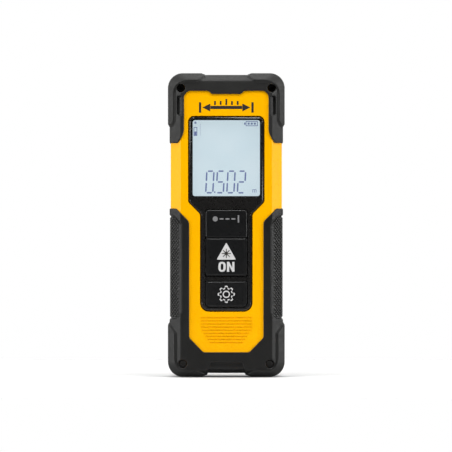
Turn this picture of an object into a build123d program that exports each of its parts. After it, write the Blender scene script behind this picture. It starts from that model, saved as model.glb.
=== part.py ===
"""Handheld laser distance meter, in millimetres.

Frame: the origin is the middle of the bottom end, the plane that distances are measured from.
+Z runs up the body to the laser end, the display and keys face -Y, and +X is to the right of the display.
Depths are given towards the front, so depth 9.9 is the plane y = -9.9.
"""

import os
from math import cos, pi, sin

from build123d import *

os.makedirs("parts", exist_ok=True)

# Housing envelope at level 0, the outer face of the plastic.
HALF_WIDTH = 21.6
BOTTOM = 1.1
TOP = 116.9
CORNER_RADIUS = 4.6
FRONT = 11.9
REAR = -11.9
FRONT_SHOULDER = 8.4
REAR_SHOULDER = -9.6
FRONT_FLAT_HALF = 17.6
REAR_FLAT_HALF = 19.0
END_INSET = 2.0
RIDGE_RADIUS = 1.0
PARTING = 1.0

# Levels are distances outwards from the plastic's outer face.
RIM_LEVEL = 1.1
RIM_FOOT_LEVEL = 0.78
RUBBER_LEVEL = 0.45
PANEL_LEVEL = -0.15
TOE_LEVEL = -0.35
SLOT_LEVEL = -0.55
SEAT_LEVEL = -0.9
WALL_LEVEL = -2.0
FRONT_INSIDE = FRONT + WALL_LEVEL
REAR_INSIDE = REAR - WALL_LEVEL
FAR = 40.0

# Case screws, driven from the front into the rear shell.
CASE_SCREW_SPOTS = [(17.55, 112.1), (-17.55, 112.1), (16.9, 5.1), (-16.9, 5.1)]
BOSS_RADIUS = 3.0
BOSS_ROUNDING = 2.5
SCREW_RECESS_RADIUS = 1.75
GUARD_HOLE_RADIUS = 1.63
SCREW_SEAT = 9.4
SCREW_TIP = -5.5
SCREW_HEAD_RADIUS = 1.6
SCREW_HEAD_HEIGHT = 1.3
SCREW_SHANK_RADIUS = 0.85
SHANK_CLEARANCE_RADIUS = 1.2
PILOT_RADIUS = 0.9
HEAD_ROUNDING = 0.35
SOCKET_REACH = 0.9
SOCKET_DEPTH = 0.9
LOBE_COUNT = 6

# Thumb grooves under the keys: the lower ones follow the narrowing shell.
RIB_COUNT = 9
RIB_PITCH = 1.2
RIB_TOP_Z = 23.0
RIB_GROOVE_WIDTH = 0.34
RIB_GROOVE_DEPTH = 0.3
RIB_LONGEST_HALF = 10.1
RIB_SHORTEST_HALF = 6.6
RIB_TAPER = 0.75

# Seal in the parting line.
SEAL_OUTER_LEVEL = -1.15
SEAL_INNER_LEVEL = -1.75
SEAL_DEPTH = 0.6

# Plain label sunk into the back.
LABEL_HALF = 12.0
LABEL_LOW = 76.0
LABEL_HIGH = 88.5
LABEL_DEPTH = 0.25
LABEL_THICKNESS = 0.15
LABEL_RADIUS = 1.2
LABEL_FIT = 0.1

# Display panel.
PANEL_TOP = 101.35
PANEL_HALF = 14.85
PANEL_NECK_HALF = 10.2
PANEL_BOTTOM = 25.3
PANEL_BACK = 10.4
PANEL_FIT = 0.08
SCREEN_HALF = 13.05
SCREEN_LOW = 70.2
SCREEN_HIGH = 99.7
SCREEN_RADIUS = 0.9
WINDOW_MARGIN = 0.5
WINDOW_FRONT = 11.75
WINDOW_THICKNESS = 0.9
WINDOW_FIT = 0.06
BEZEL_BEVEL_WIDTH = 0.9
BEZEL_BEVEL_DEPTH = 0.6
LCD_HALF = 13.75
LCD_LOW = 69.7
LCD_HIGH = 100.2
LCD_FRONT = 10.1
LCD_BACK = 8.1
BACKLIGHT_BACK = 6.9
HOLDER_HALF = 15.2
HOLDER_LOW = 67.6
HOLDER_HIGH = 101.9
LCD_FIT = 0.1
LCD_GLASS = 1.0
GASKET_FIT = 0.05
BACKLIGHT_HALF = 13.4
BACKLIGHT_INSET = 0.4
HOLDER_RADIUS = 1.2
HOLDER_WALL = 1.2
HOLDER_CELL_FLOOR = 0.9
HOLDER_OPENING_HALF = 13.2
FLEX_HALF = 8.5
FLEX_THICKNESS = 0.2
FLEX_BEND = 68.6
FLEX_LOW = 66.8
FLEX_RISE = 0.4
FLEX_SLOT_HALF = 9.2
FLEX_SLOT_FRONT = 8.6

# Keys: travel is towards +Y, onto the domes.
KEY_OPENING_HALF = 8.35
KEY_OPENING_LOW = 26.85
KEY_OPENING_HIGH = 65.15
KEY_GAP = 0.28
KEY_HALF = KEY_OPENING_HALF - KEY_GAP
BAR_LOW = 37.3
BAR_HIGH = 38.95
BAR_FRONT = 11.45
PAD_LOW = 54.05
KEY_FRONT = 12.1
CREASE_HALF = 6.6
CREASE_FALL = 0.55
FLANGE_BACK = 9.5
FLANGE_FRONT = 10.3
FLANGE_MARGIN = 0.7
KEY_TRAVEL = 0.6
MEASURE_KEY_Z = (39.25, 53.8)
SETTINGS_KEY_Z = (27.15, 37.05)
KEY_EDGE_BREAK = 0.35
PUSHER_RADIUS = 2.0
PUSHER_CLEARANCE = 0.4
PUSHER_GAP = 0.1
MEASURE_PUSHER = (0, 46.5)
SETTINGS_PUSHER = (0, 32.1)
DOME_RADIUS = 3.0
DOME_HEIGHT = 0.35
MAT_HALF = 9.4
MAT_LOW = 26.1
MAT_HIGH = 66.0
MAT_FRONT = 8.4
MAT_THICKNESS = 0.8
MAT_RADIUS = 1.5

# Main board.
BOARD_BACK = 3.9
BOARD_FRONT = 4.9
BOARD_HALF = 17.4
BOARD_LOW = 9.0
BOARD_HIGH = 103.5
BOARD_POSTS = [(15.0, 62.0), (-15.0, 62.0), (15.0, 14.0), (-15.0, 14.0)]
POST_RADIUS = 2.2
BOARD_HOLE_RADIUS = 1.15
BOARD_SCREW_HEAD_RADIUS = 1.7
BOARD_SCREW_HEAD_HEIGHT = 1.1
BOARD_SCREW_REACH = 4.6
CHIP_X = (-11.0, -4.0)
CHIP_Z = (70.0, 77.0)
CHIP_HEIGHT = 1.0
SHIELD_X = (-9.0, 9.0)
SHIELD_Z = (40.0, 58.0)
SHIELD_HEIGHT = 1.6
SHIELD_WALL = 0.2
RESISTOR_SIZE = (1.6, 0.6, 0.8)
RESISTOR_X = (-8.0, -5.0, -2.0, 1.0, 4.0, 7.0)
RESISTOR_Z = (19.5, 22.0)
INDUCTOR_SIZE = (5.0, 1.4, 2.0)
INDUCTOR_X = -3.0
INDUCTOR_Z = (31.0, 34.0)
CONNECTOR_HALF = 9.0
CONNECTOR_Z = (66.2, 67.6)
CONNECTOR_HEIGHT = 0.9
CONNECTOR_FLOOR = 0.4
CONNECTOR_SLOT = 0.24
BUZZER_SPOT = (0, 17.5)
BUZZER_RADIUS = 4.5
BUZZER_HEIGHT = 2.6
BUZZER_HOLE_RADIUS = 0.8
BUZZER_HOLE_DEPTH = 0.6

# Cells: two AAA, side by side behind the board.
CELL_RADIUS = 5.25
CELL_LENGTH = 44.5
CELL_X = 5.6
CELL_Y = 4.6
BAY_HALF = 11.2
BAY_LOW = 15.5
BAY_HIGH = 66.0
BAY_FLOOR = -0.9
BAY_WALL = 1.8
BAY_FLOOR_THICKNESS = 1.1
NUB_RADIUS = 1.9
NUB_LENGTH = 0.9
CAN_ROUNDING = 0.5
CONTACT_THICKNESS = 0.4
CONTACT_HALF = 4.2
CONTACT_REAR = 8.4
LEAD_HALF = 1.0
LEAD_CLEARANCE = 0.1
SPRING_GAP = 5.2
SPRING_WIRE = 0.45
SPRING_RADIUS = 2.4
SPRING_TURNS = 4
SPRING_CLEARANCE = 0.05

# Battery door, hooked at its lower edge.
DOOR_HALF = 12.5
DOOR_LOW = 12.5
DOOR_HIGH = 69.0
DOOR_INSIDE = 10.35
DOOR_GAP = 0.1
DOOR_RADIUS = 2.0
DOOR_HOOK_X = 7.0
HOOK_HALF = 1.9
HOOK_FRONT = 8.8
HOOK_REAR = 9.7
HOOK_REACH = 1.6
HOOK_NECK = 1.1
TONGUE_HALF = 5.3
TONGUE_LOW = 57.5
TONGUE_SLIT_HALF = 0.4
CATCH_HALF = 3.5
CATCH_FRONT = 9.8
CATCH_THICKNESS = 1.0
DOOR_RIB_X = 10.2
DOOR_RIB_HALF = 0.5
DOOR_RIB_FRONT = 9.6
DOOR_RIB_Z = (20.0, 60.0)
THUMB_RIB_COUNT = 4
THUMB_RIB_LOW = 61.0
THUMB_RIB_PITCH = 1.7
THUMB_RIB_SIZE = (7.6, 0.8)
THUMB_RIB_DEPTH = 0.7
PAD_HALF = 1.5
PAD_FRONT = 9.9
PAD_Z = (26.0, 52.0)
LATCH_NOTCH_HALF = 5.0
LATCH_NOTCH_TOP = 72.6
LATCH_NOTCH_DEPTH = 1.0
LATCH_SLOT_LOW = 67.4

# Optics, on one axis height behind the board.
OPTICS_Y = 2.2
FRAME_Y = OPTICS_Y - 0.1
LASER_X = -8.0
RECEIVER_X = 5.0
BARREL_RADIUS = 3.15
RECEIVER_LENS_RADIUS = 5.5
END_FRAME_HALF_X = 12.4
END_FRAME_HALF_Y = 6.4
END_FRAME_FIT = 0.1
END_FRAME_LOW = 113.0
END_FRAME_RADIUS = 2.0
END_FLANGE_MARGIN = (1.0, 0.6)
END_FLANGE_HEIGHT = 1.5
END_WINDOW_LOW = 115.7
END_WINDOW_HALF = (11.3, 5.5)
END_WINDOW_THICKNESS = 1.0
END_WINDOW_FIT = 0.05
BENCH_EARS = [(13.5, 94.5), (-13.5, 94.5)]
EAR_FRONT = -5.4
EAR_REAR = -7.4
BENCH_PLATE = (109.5, 111.5)
BENCH_HALF = (13.0, 6.4)
BENCH_RADIUS = 2.0
LASER_TUBE_RADIUS = 4.2
LASER_TUBE_LOW = 84.0
BARREL_Z = (88.0, 108.0)
BARREL_BORE_RADIUS = 2.5
BARREL_FIT = 0.02
FUNNEL_LOW = 80.0
FUNNEL_HIGH = 109.6
FUNNEL_OUTER = (3.4, 6.4)
FUNNEL_INNER = (2.4, 5.0)
WEB_HALF = 0.8
COLLIMATOR_RADIUS = 2.45
COLLIMATOR_LOW = 104.0
RECEIVER_LENS_LOW = 108.6
RECEIVER_LENS_FIT = 0.05
LENS_SEAT = 107.8
DIODE_BASE_RADIUS = 2.8
DIODE_CAN_RADIUS = 1.8
DIODE_LOW = 86.8
DIODE_HIGH = 90.4
DIODE_PINS = [(-1.0, -0.6), (1.0, -0.6), (0, 1.1)]
DIODE_PIN_RADIUS = 0.23
DIODE_PIN_LOW = 82.0
BAFFLE_RADIUS = 6.3
BAFFLE_OPENING = 5.4
SENSOR_BASE_RADIUS = 2.9
SENSOR_CAN_RADIUS = 2.3
SENSOR_LOW = 77.0
SENSOR_BASE = 0.6
SENSOR_BOARD_HALF = (6.0, 4.8)
SENSOR_BOARD_THICKNESS = 1.0
LASER_WINDOW_RADIUS = 2.4
RECEIVER_WINDOW_RADIUS = 5.2
BENCH_SCREW_HEAD_RADIUS = 1.8
BENCH_SCREW_HEAD_HEIGHT = 1.2
BENCH_SCREW_TIP = -9.4


def outline(corners):
    """A closed face from (across, up, corner radius) triples."""
    with BuildSketch(mode=Mode.PRIVATE) as shape:
        with BuildLine():
            FilletPolyline(
                *[(across, up) for across, up, _ in corners],
                radius=[radius for _, _, radius in corners],
                close=True,
            )
        make_face()
    return shape.sketch


def symmetric_outline(right_corners):
    """A face from the corners of its right half, which run from the middle line back to it."""
    left_corners = [(-across, up, radius) for across, up, radius in reversed(right_corners)]
    return outline(right_corners + left_corners)


def slab(half_width, low, high, radius):
    """An upright rounded rectangle about the middle line."""
    with BuildSketch(mode=Mode.PRIVATE) as shape:
        with Locations((0, (low + high) / 2)):
            RectangleRounded(2 * half_width, high - low, radius)
    return shape.sketch


def front_plane(depth):
    """The upright plane at a depth, where a sketch's axes are +X and +Z."""
    return Plane.XZ.offset(depth)


def body_form(level):
    """The whole rounded and bevelled body, offset outwards by a level."""
    full = slab(HALF_WIDTH + level, BOTTOM - level, TOP + level, CORNER_RADIUS + level)
    end_low = BOTTOM + END_INSET - 0.5 * level
    end_high = TOP - END_INSET + 0.5 * level
    front_flat = slab(FRONT_FLAT_HALF + 0.38 * level, end_low, end_high, 3 + 0.5 * level)
    rear_flat = slab(REAR_FLAT_HALF + 0.4 * level, end_low, end_high, 3 + 0.5 * level)
    front_shoulder = FRONT_SHOULDER + 0.45 * level
    rear_shoulder = REAR_SHOULDER - 0.4 * level
    with BuildPart() as form:
        with BuildSketch(front_plane(rear_shoulder)):
            add(full)
        extrude(amount=front_shoulder - rear_shoulder)
        with BuildSketch(front_plane(front_shoulder)):
            add(full)
        with BuildSketch(front_plane(FRONT + level)):
            add(front_flat)
        loft(ruled=True)
        with BuildSketch(front_plane(rear_shoulder)):
            add(full)
        with BuildSketch(front_plane(REAR - level)):
            add(rear_flat)
        loft(ruled=True)
        ridges = form.edges().filter_by(lambda edge: edge.bounding_box().size.Y < 0.001)
        fillet(ridges, RIDGE_RADIUS)
    return form.part


def prism(face, from_depth, to_depth):
    """A face drawn on the upright plane, made solid between two depths."""
    with BuildPart() as block:
        with BuildSketch(front_plane(from_depth)):
            add(face)
        extrude(amount=to_depth - from_depth)
    return block.part


def block(x_range, y_range, z_range):
    """A box between limits, made apart from any builder."""
    middle = [(low + high) / 2 for low, high in (x_range, y_range, z_range)]
    size = [high - low for low, high in (x_range, y_range, z_range)]
    return Pos(*middle) * Box(*size, mode=Mode.PRIVATE)


def rod(spot, radius, from_depth, to_depth):
    """A cylinder along the depth at a spot (x, z)."""
    with BuildPart() as pin:
        with BuildSketch(front_plane(from_depth)):
            with Locations(spot):
                Circle(radius)
        extrude(amount=to_depth - from_depth)
    return pin.part


def post(spot, radius, low, high):
    """An upright cylinder at a spot (x, y)."""
    with BuildPart() as pin:
        with BuildSketch(Plane.XY.offset(low)):
            with Locations(spot):
                Circle(radius)
        extrude(amount=high - low)
    return pin.part


def corner_boss(spot, from_depth, to_depth):
    """A screw boss that runs out into its corner of the shell."""
    side = 1 if spot[0] > 0 else -1
    end = 1 if spot[1] > TOP / 2 else -1
    inner_x = spot[0] - side * BOSS_RADIUS
    inner_z = spot[1] - end * BOSS_RADIUS
    far_z = spot[1] + end * FAR
    face = outline([
        (inner_x, inner_z, BOSS_ROUNDING),
        (side * FAR, inner_z, 0),
        (side * FAR, far_z, 0),
        (inner_x, far_z, 0),
    ])
    return prism(face, from_depth, to_depth)


def finish(builder, name):
    """Labels a finished piece and writes it."""
    builder.part.label = name
    export_step(builder.part, f"parts/{name}.step")


# Outlines seen from the front: right halves, from the middle line round to it.
TOP_GUARD = [
    (FAR, 125, 0),
    (FAR, 90.8, 0),
    (18.8, 90.8, 0.7),
    (16.4, 94.6, 6.0),
    (16.4, 111.05, 2.7),
    (7.1, 111.05, 0.6),
    (5.6, 109.8, 0.6),
]
GRIP_GUARD = [
    (FAR, -8, 0),
    (FAR, 65.4, 0),
    (19.5, 65.4, 0.9),
    (14.4, 60.3, 2.4),
    (14.4, 15.3, 1.6),
    (8.9, 9.6, 1.2),
]
TOP_RIM = [
    (FAR, 125, 0),
    (FAR, 98.0, 0),
    (21.3, 98.0, 0.8),
    (20.6, 99.5, 1.0),
    (20.6, 115.1, 5.0),
    (11.3, 115.1, 1.0),
    (8.7, 116.9, 0.2),
    (9.8, 118.6, 0),
    (9.8, 125, 0),
]
LOWER_RIM = [
    (FAR, -8, 0),
    (FAR, 20.4, 0),
    (22.3, 20.4, 0.4),
    (20.1, 16.8, 1.0),
    (20.1, 2.2, 5.0),
    (11.9, 2.2, 1.0),
    (8.6, 0.9, 0.2),
    (9.6, -0.3, 0),
    (9.6, -8, 0),
]
TOP_RIM_FOOT = [
    (FAR, 125, 0),
    (FAR, 97.5, 0),
    (21.0, 97.5, 0.8),
    (20.0, 99.4, 1.0),
    (20.0, 114.5, 3.8),
    (11.5, 114.5, 1.0),
    (8.1, 116.9, 0.2),
    (9.2, 118.6, 0),
    (9.2, 125, 0),
]
LOWER_RIM_FOOT = [
    (FAR, -8, 0),
    (FAR, 20.9, 0),
    (22.2, 20.9, 0.4),
    (19.5, 16.9, 1.0),
    (19.5, 2.8, 3.8),
    (12.1, 2.8, 1.0),
    (8.0, 0.9, 0.2),
    (9.0, -0.3, 0),
    (9.0, -8, 0),
]
GRIP_PANEL = [
    (FAR, 62.7, 0),
    (20.6, 62.7, 1.5),
    (17.3, 59.4, 1.2),
    (17.3, 24.8, 1.2),
    (19.6, 22.5, 1.2),
    (FAR, 22.5, 0),
]
TOE_PANEL = [
    (7.4, -8, 0),
    (7.4, 2.5, 0.5),
    (6.2, 5.9, 0.8),
]
DISPLAY_PANEL = [
    (PANEL_HALF, PANEL_TOP, 2.3),
    (PANEL_HALF, 67.9, 1.8),
    (PANEL_NECK_HALF, 63.2, 2.0),
    (PANEL_NECK_HALF, PANEL_BOTTOM, 3.5),
]
SLOT_SPOTS = [(18.1, 105.3), (-18.1, 105.3)]
SLOT_SIZE = (2.1, 7.5)
SLOT_RADIUS = 0.7


def mirrored_pair(corners):
    """The same outline on the right and on the left."""
    left_corners = [(-across, up, radius) for across, up, radius in corners]
    return outline(corners) + outline(left_corners)


top_region = symmetric_outline(TOP_GUARD)
grip_region = symmetric_outline(GRIP_GUARD)
top_rim_region = mirrored_pair(TOP_RIM)
top_foot_region = mirrored_pair(TOP_RIM_FOOT)
lower_rim_region = mirrored_pair(LOWER_RIM)
lower_foot_region = mirrored_pair(LOWER_RIM_FOOT)
grip_panel_region = mirrored_pair(GRIP_PANEL)
toe_region = symmetric_outline(TOE_PANEL)
panel_face = symmetric_outline(DISPLAY_PANEL)

plastic_form = body_form(0)
rubber_form = body_form(RUBBER_LEVEL)
rim_form = body_form(RIM_LEVEL)
rim_foot_form = body_form(RIM_FOOT_LEVEL)
seat_form = body_form(SEAT_LEVEL)
cavity_form = body_form(WALL_LEVEL)

end_opening = block(
    (-END_FRAME_HALF_X - END_FRAME_FIT, END_FRAME_HALF_X + END_FRAME_FIT),
    (FRAME_Y - END_FRAME_HALF_Y - END_FRAME_FIT, FRAME_Y + END_FRAME_HALF_Y + END_FRAME_FIT),
    (END_FRAME_LOW - 1, TOP + FAR),
)
end_opening = fillet(end_opening.edges().filter_by(Axis.Z), END_FRAME_RADIUS + END_FRAME_FIT)


def within(form, region):
    """The part of a form that lies inside a region seen from the front."""
    with BuildPart() as piece:
        add(form)
        add(prism(region, -FAR, FAR), mode=Mode.INTERSECT)
    return piece.part


def guard(region, rim_region, foot_region, panels):
    """A full wrap-round rubber moulding: base skin, rims raised in two steps, and recessed panels."""
    with BuildPart() as whole:
        add(within(rubber_form, region))
        add(within(rim_foot_form, foot_region))
        add(within(rim_form, rim_region))
        for cutter in panels:
            add(cutter, mode=Mode.SUBTRACT)
        add(seat_form, mode=Mode.SUBTRACT)
        add(end_opening, mode=Mode.SUBTRACT)
        for spot in CASE_SCREW_SPOTS:
            add(rod(spot, GUARD_HOLE_RADIUS, 0, FAR), mode=Mode.SUBTRACT)
    return whole.part


def panel_cutter(face, level):
    """What stands above a level inside a panel's outline."""
    with BuildPart() as cutter:
        add(prism(face, -FAR, FAR))
        add(body_form(level), mode=Mode.SUBTRACT)
    return cutter.part


with BuildSketch(mode=Mode.PRIVATE) as slot_sketch:
    with Locations(*SLOT_SPOTS):
        RectangleRounded(*SLOT_SIZE, SLOT_RADIUS)
slot_region = slot_sketch.sketch

top_wrap = guard(
    top_region,
    top_rim_region,
    top_foot_region,
    [panel_cutter(slot_region, SLOT_LEVEL)],
)
grip_wrap = guard(
    grip_region,
    lower_rim_region,
    lower_foot_region,
    [panel_cutter(grip_panel_region, PANEL_LEVEL), panel_cutter(toe_region, TOE_LEVEL)],
)

for wrap, front_name, rear_name in (
    (top_wrap, "front_top_guard", "rear_top_guard"),
    (grip_wrap, "front_grip_guard", "rear_grip_guard"),
):
    with BuildPart() as front_guard:
        add(wrap)
        split(bisect_by=front_plane(PARTING), keep=Keep.TOP)
    finish(front_guard, front_name)
    with BuildPart() as rear_guard:
        add(wrap)
        split(bisect_by=front_plane(PARTING), keep=Keep.BOTTOM)
    finish(rear_guard, rear_name)

# ---------------------------------------------------------------- front shell
with BuildPart() as rubber_seat:
    add(rim_form)
    add(prism(top_region + grip_region, -FAR, FAR), mode=Mode.INTERSECT)
    add(seat_form, mode=Mode.SUBTRACT)


def thumb_groove_half(index):
    """Half the length of a thumb groove, counted from the top."""
    return min(RIB_LONGEST_HALF, RIB_SHORTEST_HALF + RIB_TAPER * (RIB_COUNT - 1 - index))


with BuildSketch(mode=Mode.PRIVATE) as groove_sketch:
    for index in range(RIB_COUNT):
        with Locations((0, RIB_TOP_Z - index * RIB_PITCH)):
            SlotOverall(2 * thumb_groove_half(index), RIB_GROOVE_WIDTH)

with BuildPart() as front_bosses:
    for spot in CASE_SCREW_SPOTS:
        add(corner_boss(spot, PARTING, FRONT))
    add(seat_form, mode=Mode.INTERSECT)

shelf_face = offset(panel_face, 1.0)
through_face = offset(panel_face, -0.7)
lcd_pocket = slab(LCD_HALF + LCD_FIT, LCD_LOW - LCD_FIT, LCD_HIGH + LCD_FIT, 0.2)

with BuildPart() as front_housing:
    add(plastic_form)
    split(bisect_by=front_plane(PARTING), keep=Keep.TOP)
    add(rubber_seat.part, mode=Mode.SUBTRACT)
    add(cavity_form, mode=Mode.SUBTRACT)
    add(front_bosses.part)
    add(prism(shelf_face, FRONT_INSIDE - 0.7, FRONT_INSIDE + 0.2))
    for spot in BOARD_POSTS:
        add(rod(spot, POST_RADIUS, BOARD_FRONT, FRONT_INSIDE + 0.2))
    add(prism(panel_face, PANEL_BACK, FAR), mode=Mode.SUBTRACT)
    add(prism(through_face, 0, FAR), mode=Mode.SUBTRACT)
    add(prism(lcd_pocket, 0, PANEL_BACK), mode=Mode.SUBTRACT)
    for spot in BOARD_POSTS:
        add(rod(spot, PILOT_RADIUS, BOARD_FRONT, FRONT_INSIDE), mode=Mode.SUBTRACT)
    for spot in CASE_SCREW_SPOTS:
        add(rod(spot, SHANK_CLEARANCE_RADIUS, 0, FAR), mode=Mode.SUBTRACT)
        add(rod(spot, SCREW_RECESS_RADIUS, SCREW_SEAT, FAR), mode=Mode.SUBTRACT)
    add(prism(groove_sketch.sketch, FRONT - RIB_GROOVE_DEPTH, FAR), mode=Mode.SUBTRACT)
    add(end_opening, mode=Mode.SUBTRACT)
finish(front_housing, "front_housing")


# ---------------------------------------------------------------- rear shell
def ring_at(level):
    """The body's outline at a level."""
    return slab(HALF_WIDTH + level, BOTTOM - level, TOP + level, CORNER_RADIUS + level)


with BuildPart() as rear_bosses:
    for spot in CASE_SCREW_SPOTS:
        add(corner_boss(spot, PARTING, SCREW_TIP - 2.5))
    add(seat_form, mode=Mode.INTERSECT)

bay_outer = block(
    (-BAY_HALF - BAY_WALL, BAY_HALF + BAY_WALL),
    (BAY_FLOOR - BAY_FLOOR_THICKNESS, -REAR_INSIDE + 0.5),
    (BAY_LOW - BAY_WALL, BAY_HIGH + BAY_WALL),
)
bay_inner = block((-BAY_HALF, BAY_HALF), (BAY_FLOOR, FAR), (BAY_LOW, BAY_HIGH))
bay_inner = fillet(bay_inner.edges().filter_by(Axis.Y), 0.6)
door_rebate = slab(
    DOOR_HALF + DOOR_GAP, DOOR_LOW - DOOR_GAP, DOOR_HIGH + DOOR_GAP, DOOR_RADIUS + DOOR_GAP
)
latch_notch = outline([
    (LATCH_NOTCH_HALF, DOOR_HIGH - 1, 0),
    (LATCH_NOTCH_HALF, LATCH_NOTCH_TOP, 1.8),
    (-LATCH_NOTCH_HALF, LATCH_NOTCH_TOP, 1.8),
    (-LATCH_NOTCH_HALF, DOOR_HIGH - 1, 0),
])
label_face = slab(LABEL_HALF, LABEL_LOW, LABEL_HIGH, LABEL_RADIUS)
seal_ring = ring_at(SEAL_OUTER_LEVEL) - ring_at(SEAL_INNER_LEVEL)

with BuildPart() as rear_housing:
    add(plastic_form)
    split(bisect_by=front_plane(PARTING), keep=Keep.BOTTOM)
    add(rubber_seat.part, mode=Mode.SUBTRACT)
    add(cavity_form, mode=Mode.SUBTRACT)
    add(rear_bosses.part)
    add(bay_outer)
    for spot in BENCH_EARS:
        add(rod(spot, POST_RADIUS, EAR_REAR - 0.1, REAR_INSIDE - 0.2))
    add(bay_inner, mode=Mode.SUBTRACT)
    add(prism(door_rebate, -DOOR_INSIDE + 0.1, -FAR), mode=Mode.SUBTRACT)
    for side in (-1, 1):
        hook_slot = block(
            (side * DOOR_HOOK_X - HOOK_HALF - 0.3, side * DOOR_HOOK_X + HOOK_HALF + 0.3),
            (HOOK_FRONT - HOOK_REACH, DOOR_INSIDE + 0.25),
            (DOOR_LOW - DOOR_GAP, BAY_LOW + 0.5),
        )
        add(hook_slot, mode=Mode.SUBTRACT)
        lead_x = (side * CELL_X - LEAD_HALF - LEAD_CLEARANCE, side * CELL_X + LEAD_HALF + LEAD_CLEARANCE)
        for low in (BAY_LOW, BAY_HIGH - CONTACT_THICKNESS - LEAD_CLEARANCE):
            lead_slot = block(lead_x, (-3.0, 0.5), (low, low + CONTACT_THICKNESS + LEAD_CLEARANCE))
            add(lead_slot, mode=Mode.SUBTRACT)
    catch_slot = block(
        (-CATCH_HALF - 0.4, CATCH_HALF + 0.4),
        (CATCH_FRONT - 0.6, -REAR - 0.9),
        (LATCH_SLOT_LOW, DOOR_HIGH + DOOR_GAP),
    )
    add(catch_slot, mode=Mode.SUBTRACT)
    add(prism(latch_notch, REAR + LATCH_NOTCH_DEPTH, -FAR), mode=Mode.SUBTRACT)
    add(prism(label_face, REAR + LABEL_DEPTH, -FAR), mode=Mode.SUBTRACT)
    for spot in CASE_SCREW_SPOTS:
        add(rod(spot, PILOT_RADIUS, PARTING, SCREW_TIP - 1), mode=Mode.SUBTRACT)
    for spot in BENCH_EARS:
        add(rod(spot, PILOT_RADIUS, EAR_REAR - 0.1, REAR_INSIDE), mode=Mode.SUBTRACT)
    add(prism(seal_ring, PARTING - SEAL_DEPTH, PARTING), mode=Mode.SUBTRACT)
    add(end_opening, mode=Mode.SUBTRACT)
finish(rear_housing, "rear_housing")

with BuildPart() as housing_seal:
    add(prism(seal_ring, PARTING - SEAL_DEPTH, PARTING))
    add(end_opening, mode=Mode.SUBTRACT)
finish(housing_seal, "housing_seal")

with BuildPart() as rear_label:
    film = offset(label_face, -LABEL_FIT)
    add(prism(film, REAR + LABEL_DEPTH, REAR + LABEL_DEPTH - LABEL_THICKNESS))
finish(rear_label, "rear_label")

# ---------------------------------------------------------------- display stack
screen_face = slab(SCREEN_HALF, SCREEN_LOW, SCREEN_HIGH, SCREEN_RADIUS)
window_pocket = slab(
    SCREEN_HALF + WINDOW_MARGIN, SCREEN_LOW - WINDOW_MARGIN, SCREEN_HIGH + WINDOW_MARGIN, 1.2
)
key_opening = outline([
    (KEY_OPENING_HALF, KEY_OPENING_HIGH, 1.4),
    (KEY_OPENING_HALF, KEY_OPENING_LOW, 2.0),
    (-KEY_OPENING_HALF, KEY_OPENING_LOW, 2.0),
    (-KEY_OPENING_HALF, KEY_OPENING_HIGH, 1.4),
])

bezel_face = offset(panel_face, -PANEL_FIT)
with BuildPart() as display_bezel:
    add(prism(bezel_face, PANEL_BACK, FRONT - BEZEL_BEVEL_DEPTH))
    with BuildSketch(front_plane(FRONT - BEZEL_BEVEL_DEPTH)):
        add(bezel_face)
    with BuildSketch(front_plane(FRONT)):
        add(offset(bezel_face, -BEZEL_BEVEL_WIDTH))
    loft(ruled=True)
    add(prism(screen_face, 0, FAR), mode=Mode.SUBTRACT)
    add(prism(window_pocket, WINDOW_FRONT - WINDOW_THICKNESS, FAR), mode=Mode.SUBTRACT)
    add(prism(key_opening, 0, FAR), mode=Mode.SUBTRACT)
    bar_half = KEY_OPENING_HALF + 0.05
    add(block((-bar_half, bar_half), (-BAR_FRONT, -PANEL_BACK), (BAR_LOW, BAR_HIGH)))
finish(display_bezel, "display_bezel")

with BuildPart() as display_window:
    add(prism(offset(window_pocket, -WINDOW_FIT), WINDOW_FRONT - WINDOW_THICKNESS, WINDOW_FRONT))
    chamfer(display_window.faces().sort_by(Axis.Y)[0].edges(), 0.12)
finish(display_window, "display_window")

gasket_opening = slab(SCREEN_HALF + GASKET_FIT, SCREEN_LOW, SCREEN_HIGH + GASKET_FIT, SCREEN_RADIUS)
with BuildPart() as display_gasket:
    add(prism(slab(LCD_HALF, LCD_LOW, LCD_HIGH, 1.0), LCD_FRONT, PANEL_BACK))
    add(prism(gasket_opening, 0, FAR), mode=Mode.SUBTRACT)
finish(display_gasket, "display_gasket")

with BuildPart() as lcd_panel:
    add(block((-LCD_HALF, LCD_HALF), (-LCD_BACK - LCD_GLASS, -LCD_BACK), (LCD_LOW, LCD_HIGH)))
    add(block((-LCD_HALF, LCD_HALF), (-LCD_FRONT, -LCD_BACK - LCD_GLASS), (LCD_LOW, LCD_HIGH)))
finish(lcd_panel, "lcd_panel")

backlight_z = (LCD_LOW + BACKLIGHT_INSET, LCD_HIGH - BACKLIGHT_INSET)
with BuildPart() as lcd_backlight:
    add(block((-BACKLIGHT_HALF, BACKLIGHT_HALF), (-LCD_BACK, -BACKLIGHT_BACK), backlight_z))
finish(lcd_backlight, "lcd_backlight")

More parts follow.
